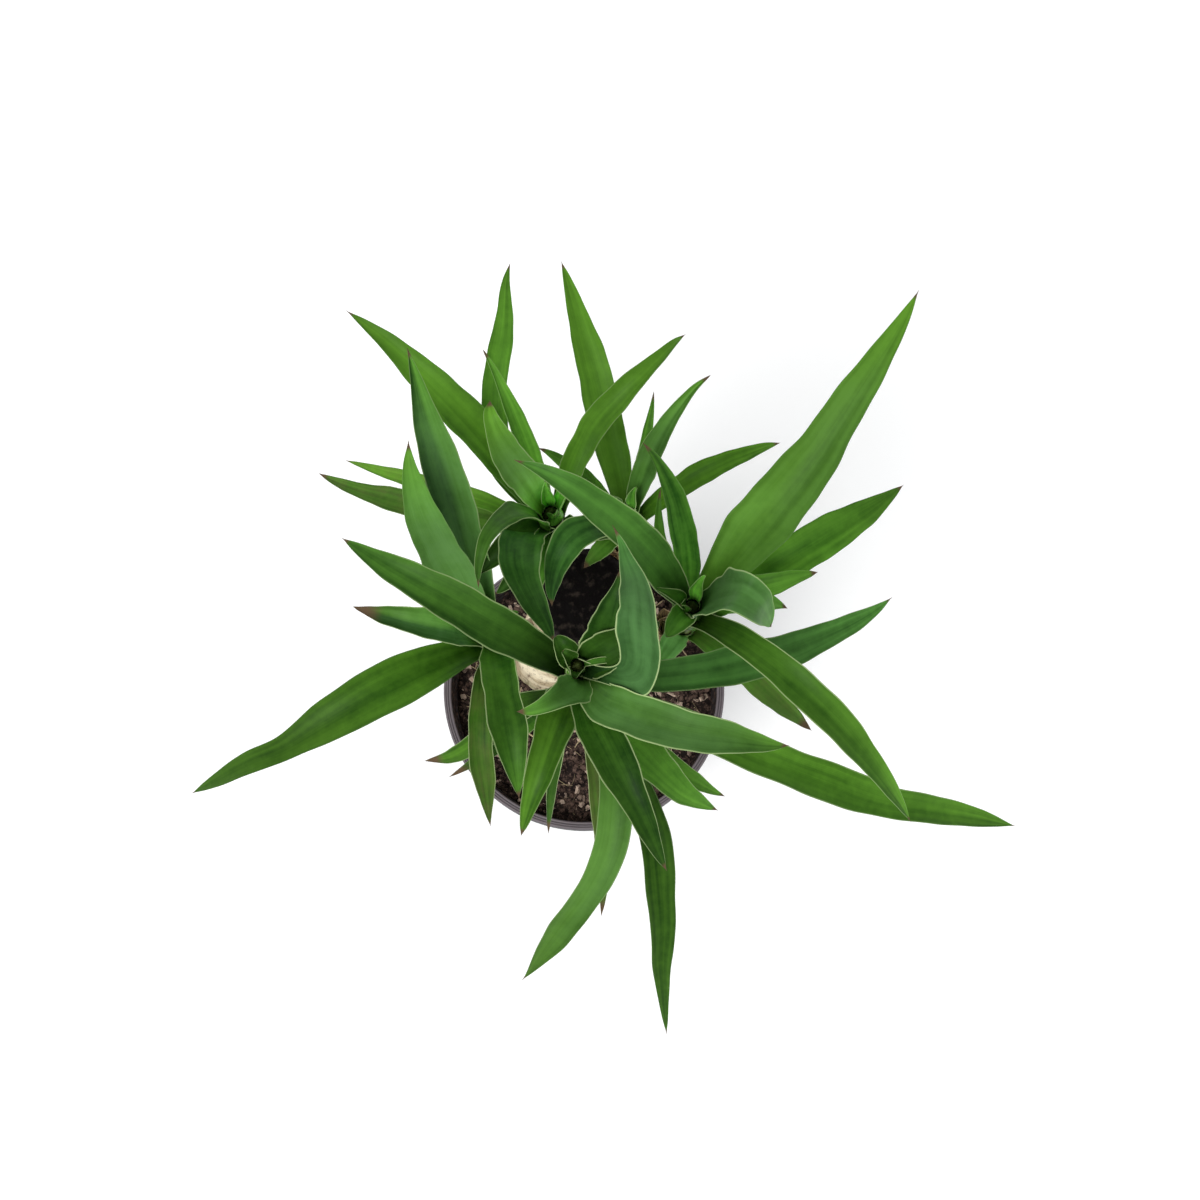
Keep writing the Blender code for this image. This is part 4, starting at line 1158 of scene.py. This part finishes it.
class YUCCA_OT_shoots(bpy.types.Operator):
    """Model the green shoots with their rings and dry scales"""

    bl_idname = "yucca.shoots"
    bl_label = "Shoots"

    def execute(self, context):
        sizes = context.scene.yucca_sizes
        skin = shoot_finish(context.scene.yucca_colours)
        dead = scale_finish(context.scene.yucca_colours)
        rng = np.random.default_rng(12)
        for shoot in SHOOT_NAMES:
            stem = shoot_solid(shoot)
            hand_over(stem_tube(f"stem_{shoot}", stem), [skin], "stem_green", f"shoot_{shoot}")
            self.dry_scales(shoot, stem, sizes, dead, rng)
        return {"FINISHED"}

    def dry_scales(self, shoot, stem, sizes, dead, rng):
        """Short papery scales that clasp the lower part of a shoot."""
        lowest = along_path(stem[0])[-1] / MM
        bearing = rng.uniform(0, 360)
        for number, drop in enumerate(np.arange(lowest * 0.5, lowest - 16, SCALE_STEP), start=1):
            bearing += SCALE_TURN
            plan = (drop, bearing, 3.0, sizes.bract / MM * rng.uniform(0.6, 1.1), 1.2, 0, 11)
            spine = young_spine(stem, plan)
            scale = grow_leaf(f"scale_{shoot}_{number}", spine, stem, SCALE_HABIT, sizes, rng)
            hand_over(scale, [dead] * 3, "stem_green")


# Cane and wax -------------------------------------------------------------------------------------

SCAR_PITCH = 12.5 * MM  # from leaf scar to leaf scar up the cane
CANE_ROWS = 240
CANE_SIDES = 120
WAX_TOP_PART = 0.62  # share of the way from the middle of the wax to its edge that lies on top


def bark_swell(angle, height, relief):
    """How far the bark stands out at an angle and height, and how deep in a crack the place is."""
    around = Vector((cos(angle) * 0.022, sin(angle) * 0.022, height))
    scar_level = height / SCAR_PITCH + 0.25 * sin(angle + height * 60) + 0.75 * noise.noise(around * 30)
    scar = max(0.0, cos(scar_level * 2 * pi)) ** 8
    scar *= min(1.0, max(0.1, 0.5 + 1.6 * noise.noise(around * 55)))
    cracks = abs(noise.noise(Vector((around.x * 150, around.y * 150, around.z * 26))))
    crack = max(0.0, 1 - cracks * 6) * (0.35 + 0.65 * max(0.0, noise.noise(around * 60)))
    lumps = noise.noise(around * 90) + 0.5 * noise.noise(around * 230)
    out = relief * (0.45 * scar - 0.8 * crack + 0.65 * lumps)
    return out, max(crack, 0.5 * scar)


class YUCCA_OT_cane(bpy.types.Operator):
    """Model the bark of the cane with its leaf scars and cracks"""

    bl_idname = "yucca.cane"
    bl_label = "Cane"

    def execute(self, context):
        relief = context.scene.yucca_sizes.bark_relief
        middle, radius = level_rings("cane")
        cane = cut_cylinder("cane_bark", CANE_SIDES, CANE_ROWS)
        plain = points_of(cane)
        height = middle[0, 2] + (plain[:, 2] + 0.5) * (middle[-1, 2] - middle[0, 2])
        angle = np.arctan2(plain[:, 1], plain[:, 0])
        swell = np.array([bark_swell(a, h, relief) for a, h in zip(angle, height)])
        reach = np.hypot(plain[:, 0], plain[:, 1])
        around = (np.interp(height, middle[:, 2], radius) + swell[:, 0]) * reach
        x = np.interp(height, middle[:, 2], middle[:, 0]) + around * np.cos(angle)
        y = np.interp(height, middle[:, 2], middle[:, 1]) + around * np.sin(angle)
        place_points(cane, np.stack([x, y, height], axis=1))
        paint(cane, "crack", swell[:, 1])
        clean(cane)
        smooth(cane, 60)
        hand_over(cane, [bark_finish(context.scene.yucca_colours)], "cane_bark", "cane")
        return {"FINISHED"}


class YUCCA_OT_wax(bpy.types.Operator):
    """Model the sealing wax on the cut, with an uneven edge where it has run"""

    bl_idname = "yucca.wax"
    bl_label = "Wax"

    def execute(self, context):
        thickness = context.scene.yucca_sizes.wax_thickness
        middle, radius = level_rings("cane")
        top, cut = middle[-1], radius[-1]
        low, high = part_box("wax_cap")
        skirt = top[2] - low.z
        deselect_all()
        bpy.ops.mesh.primitive_uv_sphere_add(segments=120, ring_count=80, radius=1)
        wax = new_piece("wax_seal")
        with editing(wax):
            bpy.ops.mesh.bisect(plane_co=(0, 0, 0), plane_no=(0, 0, 1), clear_inner=True)
        dome = points_of(wax)
        angle = np.arctan2(dome[:, 1], dome[:, 0])
        down = np.arccos(np.clip(dome[:, 2], -1, 1)) / (pi / 2)
        outer = cut + thickness + 0.4 * MM
        bend = smoothstep(WAX_TOP_PART - 0.1, WAX_TOP_PART + 0.12, down)
        reach = outer * np.clip(down / WAX_TOP_PART, 0, 1) ** 0.9
        reach += 0.5 * MM * np.sin(5 * angle + 2) * smoothstep(WAX_TOP_PART, 1, down)
        run = 0.78 + 0.22 * np.sin(3 * angle + 1) * np.cos(2 * angle)
        run += 0.10 * np.sin(9 * angle) * np.sin(4 * angle + 1)
        drop = np.clip((down - WAX_TOP_PART) / (1 - WAX_TOP_PART), 0, 1) * skirt * run
        crown = 0.9 * MM * (1 - smoothstep(0.2, WAX_TOP_PART, down))
        lumps = np.array([noise.noise(Vector((p[0] * 9, p[1] * 9, p[2] * 5))) for p in dome]) * 0.55 * MM
        z = high.z - 0.3 * MM + crown - 0.9 * MM * bend - drop + lumps * (1 - 0.6 * bend)
        lean = (middle[-1] - middle[-4]) / (middle[-1, 2] - middle[-4, 2])
        x = top[0] + lean[0] * (z - top[2]) + (reach + lumps * bend) * np.cos(angle)
        y = top[1] + lean[1] * (z - top[2]) + (reach + lumps * bend) * np.sin(angle)
        place_points(wax, np.stack([x, y, z], axis=1))
        paint(wax, "run", smoothstep(WAX_TOP_PART - 0.12, 0.8, down))
        thicken(wax, thickness)
        apply_modifiers(wax)
        clean(wax)
        smooth(wax, 60)
        hand_over(wax, [wax_finish(context.scene.yucca_colours)], "sealing_wax", "wax_cap")
        return {"FINISHED"}


# Pot ----------------------------------------------------------------------------------------------

POT_FOOT = 62.0  # the pot's foot and drain holes, in millimetres like its section
DRAIN_HOLES = 8
DRAIN_CIRCLE = 44
DRAIN_RADIUS = 5
DRILL_MIDDLE = 4
DRILL_LENGTH = 8
RIM_WALL = 4.7 * MM  # width of the rim; what lies within it is soiled


def pot_profile():
    """Half section of the pot from the middle of its inner floor round to the middle of its underside."""
    _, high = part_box("pot")
    rim, top = high.x / MM, high.z / MM
    foot = POT_FOOT
    return [
        (0, 4.8),
        (foot - 4.5, 4.8),
        (foot - 2.3, 6.2),
        (rim - 5.7, top - 18.5),
        (rim - 4.9, top - 15.5),
        (rim - 4.8, top - 1.6),
        (rim - 4.5, top - 0.5),
        (rim - 3.9, top),
        (rim - 3.4, top - 0.1),
        (rim - 3.15, top - 0.7),
        (rim - 2.75, top - 0.7),
        (rim - 2.5, top - 0.1),
        (rim - 2.0, top - 0.1),
        (rim - 1.8, top - 0.6),
        (rim - 1.4, top - 0.6),
        (rim - 1.2, top - 0.05),
        (rim - 0.6, top - 0.1),
        (rim - 0.1, top - 0.7),
        (rim, top - 1.6),
        (rim, top - 7.0),
        (rim - 0.25, top - 7.4),
        (rim - 0.25, top - 8.0),
        (rim, top - 8.4),
        (rim - 0.1, top - 15.9),
        (rim - 0.5, top - 16.5),
        (rim - 1.6, top - 16.7),
        (rim - 3.7, top - 16.9),
        (rim - 4.0, top - 18.0),
        (foot + 0.2, 3.4),
        (foot, 1.0),
        (foot - 0.7, 0),
        (foot - 2.8, 0),
        (foot - 4.0, 3.0),
        (15, 3.0),
        (14, 0),
        (0, 0),
    ]


class YUCCA_OT_pot(bpy.types.Operator):
    """Turn the pot from its section and drill its drain holes"""

    bl_idname = "yucca.pot"
    bl_label = "Pot"

    def execute(self, context):
        deselect_all()
        bpy.ops.mesh.primitive_plane_add(size=MM)
        pot = new_piece("pot_shell")
        with editing(pot):
            bpy.ops.mesh.merge(type="CENTER")
            section = [Vector((radius * MM, 0, height * MM)) for radius, height in pot_profile()]
            bpy.ops.transform.translate(value=section[0])
            for here, there in zip(section, section[1:]):
                bpy.ops.mesh.extrude_region_move(TRANSFORM_OT_translate={"value": there - here})
            bpy.ops.mesh.select_all(action="SELECT")
            bpy.ops.mesh.spin(steps=144, angle=2 * pi, center=(0, 0, 0), axis=(0, 0, 1))
        clean(pot)
        for hole in range(DRAIN_HOLES):
            self.drill(pot, 2 * pi * (hole + 0.5) / DRAIN_HOLES)
        rows = points_of(pot)
        _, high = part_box("pot")
        inside = np.hypot(rows[:, 0], rows[:, 1]) < high.x - RIM_WALL
        paint(pot, "soiled", np.where(inside & (rows[:, 2] > 10 * MM), 1.0, 0.0))
        # Painted highlight: the worn mark is the top of the rim, made paler as it catches the light.
        paint(pot, "worn", smoothstep(high.z - 1.2 * MM, high.z - 0.2 * MM, rows[:, 2]))
        smooth(pot, 32)
        hand_over(pot, [plastic_finish(context.scene.yucca_colours)], "pot_plastic", "pot")
        return {"FINISHED"}

    def drill(self, pot, turn):
        """Cut a drain hole through the pot's floor, at a turn in radians from +X."""
        place = (DRAIN_CIRCLE * cos(turn), DRAIN_CIRCLE * sin(turn), DRILL_MIDDLE)
        deselect_all()
        bpy.ops.mesh.primitive_cylinder_add(
            vertices=32,
            radius=DRAIN_RADIUS * MM,
            depth=DRILL_LENGTH * MM,
            location=[value * MM for value in place],
        )
        drill = new_piece("drill")
        cut = pot.modifiers.new("hole", "BOOLEAN")
        cut.operation = "DIFFERENCE"
        cut.object = drill
        apply_modifiers(pot)
        bpy.data.objects.remove(drill, do_unlink=True)


# Peat ---------------------------------------------------------------------------------------------

MARGIN_FROM = 0.93  # share of the way from the middle to the wall where the peat begins to fall
PEAT_FOOT = 59.6 * MM  # radius of the peat's underside
PEAT_TOP_PART = 0.72  # share of a ball, from its top, that becomes the surface of the peat
PEAT_WALL_PART = 0.86  # and the share that becomes its surface and its side
TIPPING = {"crumb": 1.6, "chip": 0.45, "fibre": 0.22}  # how far litter of each kind tips, in radians
ROUGHNESS = {"crumb": 0.05, "chip": 0.05, "fibre": 0.0}  # how rough its shape is, against its length
STREWN_TO = 0.985  # share of the way to the wall as far as which litter is strewn
CLEAR_OF_CANE = 1.02  # radius round the cane that stays clear of it, against the cane's own


def peat_level(x, y):
    """Height of the peat's surface: clods, dents, a low margin and a mound round the cane."""
    middle, radius = PEAT["cane"]
    place = Vector((x, y, 0))
    clods = 1.3 * noise.noise(place * 95) + 0.9 * noise.noise(place * 240) + 0.5 * noise.noise(place * 520)
    from_cane = (place - middle).length - radius
    mound = 2.2 * max(0.0, 1 - from_cane / (14 * MM))
    slope = 0.8 * noise.noise(place * 22) - 1.5 * max(0.0, place.length / PEAT["wall"] - MARGIN_FROM) / 0.07
    return PEAT["level"] + (clods + mound + slope) * MM


def peat_facts():
    """Levels of the peat's surface and underside, radius of the wall round it, and where the cane stands."""
    middle, radius = level_rings("cane")
    low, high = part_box("soil")
    level = high.z - 1.0 * MM
    row = np.abs(middle[:, 2] - level).argmin()
    return {
        "level": level,
        "floor": low.z,
        "wall": high.x,
        "cane": (Vector((middle[row, 0], middle[row, 1], 0)), float(radius[row])),
    }


PEAT = peat_facts()


class YUCCA_OT_peat(bpy.types.Operator):
    """Model the body of peat with its cloddy surface"""

    bl_idname = "yucca.peat"
    bl_label = "Peat"

    def execute(self, context):
        deselect_all()
        bpy.ops.mesh.primitive_uv_sphere_add(segments=180, ring_count=150, radius=1)
        peat = new_piece("peat_body")
        ball = points_of(peat)
        angle = np.arctan2(ball[:, 1], ball[:, 0])
        down = np.arccos(np.clip(ball[:, 2], -1, 1)) / pi
        reach = np.clip(down / PEAT_TOP_PART, 0, 1)
        wall = PEAT["wall"] + 0.15 * MM
        deep = np.clip((down - PEAT_TOP_PART) / (PEAT_WALL_PART - PEAT_TOP_PART), 0, 1)
        x = reach * wall * np.cos(angle)
        y = reach * wall * np.sin(angle)
        top = np.array([peat_level(a, b) for a, b in zip(x, y)])
        z = top + (PEAT["floor"] - top) * deep
        narrowing = 1 + (PEAT_FOOT / wall - 1) * deep
        closing = 1 - np.clip((down - PEAT_WALL_PART) / (1 - PEAT_WALL_PART), 0, 1)
        place_points(peat, np.stack([x * narrowing * closing, y * narrowing * closing, z], axis=1))
        paint(peat, "tint", 0.0)
        clean(peat)
        smooth(peat, 80)
        colours = context.scene.yucca_colours
        hand_over(peat, [peat_finish(colours, "peat", colours.peat_brown, 0.2)], "peat", "soil")
        return {"FINISHED"}


def litter_model(kind):
    """Points and faces of one crumb, chip or fibre, about one long and centred."""
    deselect_all()
    if kind == "crumb":
        bpy.ops.mesh.primitive_ico_sphere_add(subdivisions=1, radius=0.5)
    elif kind == "chip":
        bpy.ops.mesh.primitive_cube_add(size=1, scale=(1, 0.45, 0.16))
        bpy.ops.object.transform_apply(location=False, rotation=False, scale=True)
        with editing(bpy.context.object):
            bpy.ops.mesh.bevel(offset=0.05, segments=1)
    else:
        bpy.ops.mesh.primitive_cylinder_add(vertices=5, radius=0.018, depth=1, rotation=(0, pi / 2, 0))
        bpy.ops.object.transform_apply(location=False, rotation=True, scale=False)
        cut_across(bpy.context.object, 0, 8)
    model = bpy.context.object
    rows = points_of(model)
    faces = [tuple(face.vertices) for face in model.data.polygons]
    bpy.data.objects.remove(model, do_unlink=True)
    return rows, faces


def scatter(name, kind, number, smallest, largest, sunk, rng):
    """Many copies of one model strewn on the peat, each bent, sized, turned and tinted its own way."""
    model, model_faces = litter_model(kind)
    middle, radius = PEAT["cane"]
    points, faces, tints = [], [], []
    while len(tints) < number:
        reach = PEAT["wall"] * rng.uniform(0, 1) ** 0.5 * STREWN_TO
        turn = rng.uniform(0, 2 * pi)
        spot = Vector((reach * cos(turn), reach * sin(turn), 0))
        if (spot - middle).length < radius * CLEAR_OF_CANE:
            continue
        size = (smallest + (largest - smallest) * rng.uniform(0, 1) ** 2.2) * MM
        if reach + size * 0.5 > PEAT["wall"] and kind != "crumb":
            continue
        shape = model * rng.uniform(0.75, 1.3, 3)
        shape = shape + rng.normal(0, ROUGHNESS[kind], shape.shape)
        if kind == "fibre":
            arc = 0.25 - shape[:, 0] ** 2
            shape[:, 1] += rng.uniform(-0.5, 0.5) * arc
            shape[:, 2] += rng.uniform(0.0, 0.4) * arc
        turned = Matrix.Rotation(rng.uniform(0, 2 * pi), 3, "Z")
        for axis in "XY":
            turned = turned @ Matrix.Rotation(rng.normal(0, TIPPING[kind]), 3, axis)
        seat = peat_level(spot.x, spot.y) + size * sunk
        offset = len(points) * len(model)
        points.append(shape @ np.array(turned).T * size + (spot.x, spot.y, seat))
        faces += [tuple(offset + corner for corner in face) for face in model_faces]
        tints.append(rng.uniform(0, 1))
    mesh = bpy.data.meshes.new(name)
    mesh.from_pydata(np.concatenate(points).tolist(), [], faces)
    litter = put(name, mesh)
    paint(litter, "tint", np.repeat(tints, len(model)))
    smooth(litter, 35)
    return litter


class YUCCA_OT_litter(bpy.types.Operator):
    """Strew crumbs, bark chips and fibres on the peat"""

    bl_idname = "yucca.litter"
    bl_label = "Litter"

    def execute(self, context):
        sizes = context.scene.yucca_sizes
        colours = context.scene.yucca_colours
        rng = np.random.default_rng(31)
        # name, kind, number, sizes in mm, height of its middle against its size, pale tint, its share
        kinds = (
            ("peat_crumbs", "crumb", sizes.crumbs, 1.0, 4.5, 0.12, colours.chip_pale, 0.16),
            ("bark_chips", "chip", sizes.chips, 1.8, 7.0, 0.08, colours.chip_pale, 0.6),
            ("root_fibres", "fibre", sizes.fibres, 8.0, 26.0, 0.03, colours.straw, 1.0),
        )
        for name, kind, number, smallest, largest, sunk, pale, pale_share in kinds:
            litter = scatter(name, kind, number, smallest, largest, sunk, rng)
            hand_over(litter, [peat_finish(colours, f"{name}_skin", pale, pale_share)], "peat")
        return {"FINISHED"}


# Stage --------------------------------------------------------------------------------------------

AIM = Vector((0, 0, 0.35))  # the place that the soft light faces
SKY = (0.0, 0.5, 1.0, 0.67)  # between these two heights of view the sky's light falls from 1 to 0.67
CAMERA_PLACE = (0.0097, -0.140, 1.150)
CAMERA_TILT = 11  # degrees from straight down
LENS = 50  # millimetres, like the sensor
SENSOR = 36


def softbox(name, place, size, power):
    """A large square light that faces the plant."""
    light = bpy.data.lights.new(name, "AREA")
    light.shape = "SQUARE"
    light.size = size
    light.energy = power
    lamp = put(name, light)
    lamp.location = place
    lamp.rotation_euler = (AIM - Vector(place)).to_track_quat("-Z", "Y").to_euler()


class YUCCA_OT_stage(bpy.types.Operator):
    """Set the floor, the soft lights and the camera above the plant"""

    bl_idname = "yucca.stage"
    bl_label = "Stage"

    def execute(self, context):
        scene = context.scene
        deselect_all()
        bpy.ops.mesh.primitive_plane_add(size=60)
        floor = new_piece("floor")
        floor.data.materials.append(floor_finish(scene.yucca_colours))

        world = bpy.data.worlds.new("studio")
        world.use_nodes = True
        sky = world.node_tree
        upwards = sky.nodes.new("ShaderNodeSeparateXYZ")
        glow = sky.nodes.new("ShaderNodeMapRange")
        for socket, number in zip(list(glow.inputs)[1:5], SKY):
            socket.default_value = number
        sky.links.new(sky.nodes.new("ShaderNodeTexCoord").outputs["Generated"], upwards.inputs[0])
        sky.links.new(upwards.outputs["Z"], glow.inputs["Value"])
        sky.links.new(glow.outputs["Result"], sky.nodes["Background"].inputs["Strength"])
        sky.nodes["Background"].inputs["Color"].default_value = (0.98, 0.99, 1.0, 1.0)
        scene.world = world
        softbox("key_light", (-0.9, -1.1, 2.3), 1.0, 14)
        sun = bpy.data.lights.new("sky_light", "SUN")
        sun.energy = 1.5
        sun.angle = radians(35)
        put("sky_light", sun).rotation_euler = (radians(24), radians(-22), 0)

        lens = bpy.data.cameras.new("camera")
        lens.lens = LENS
        lens.sensor_width = SENSOR
        camera = put("camera", lens)
        camera.location = CAMERA_PLACE
        camera.rotation_euler = (radians(CAMERA_TILT), 0, 0)
        scene.camera = camera
        scene.view_settings.view_transform = "Standard"
        return {"FINISHED"}


# Add-on -------------------------------------------------------------------------------------------

OPERATORS = (
    YUCCA_OT_pot,
    YUCCA_OT_peat,
    YUCCA_OT_litter,
    YUCCA_OT_cane,
    YUCCA_OT_wax,
    YUCCA_OT_shoots,
    YUCCA_OT_leaves,
    YUCCA_OT_young_leaves,
    YUCCA_OT_stage,
)


class YUCCA_PT_panel(bpy.types.Panel):
    """Lists the pieces in the order in which they are made"""

    bl_idname = "YUCCA_PT_panel"
    bl_label = "Potted yucca cane"
    bl_space_type = "VIEW_3D"
    bl_region_type = "UI"
    bl_category = "Yucca"

    def draw(self, context):
        for operator in OPERATORS:
            self.layout.operator(operator.bl_idname)
        for group in (context.scene.yucca_sizes, context.scene.yucca_colours):
            box = self.layout.box()
            for name in group.__annotations__:
                box.prop(group, name)


CLASSES = (YuccaSizes, YuccaColours, *OPERATORS, YUCCA_PT_panel)


def register():
    """Make the operators, the panel and their settings known to Blender."""
    for cls in CLASSES:
        bpy.utils.register_class(cls)
    bpy.types.Scene.yucca_sizes = PointerProperty(type=YuccaSizes)
    bpy.types.Scene.yucca_colours = PointerProperty(type=YuccaColours)


def unregister():
    """Take them away again."""
    del bpy.types.Scene.yucca_colours
    del bpy.types.Scene.yucca_sizes
    for cls in reversed(CLASSES):
        bpy.utils.unregister_class(cls)


def main():
    """Make every piece."""
    register()
    for operator in OPERATORS:
        group, name = operator.bl_idname.split(".")
        getattr(getattr(bpy.ops, group), name)()


if __name__ == "__main__":
    main()
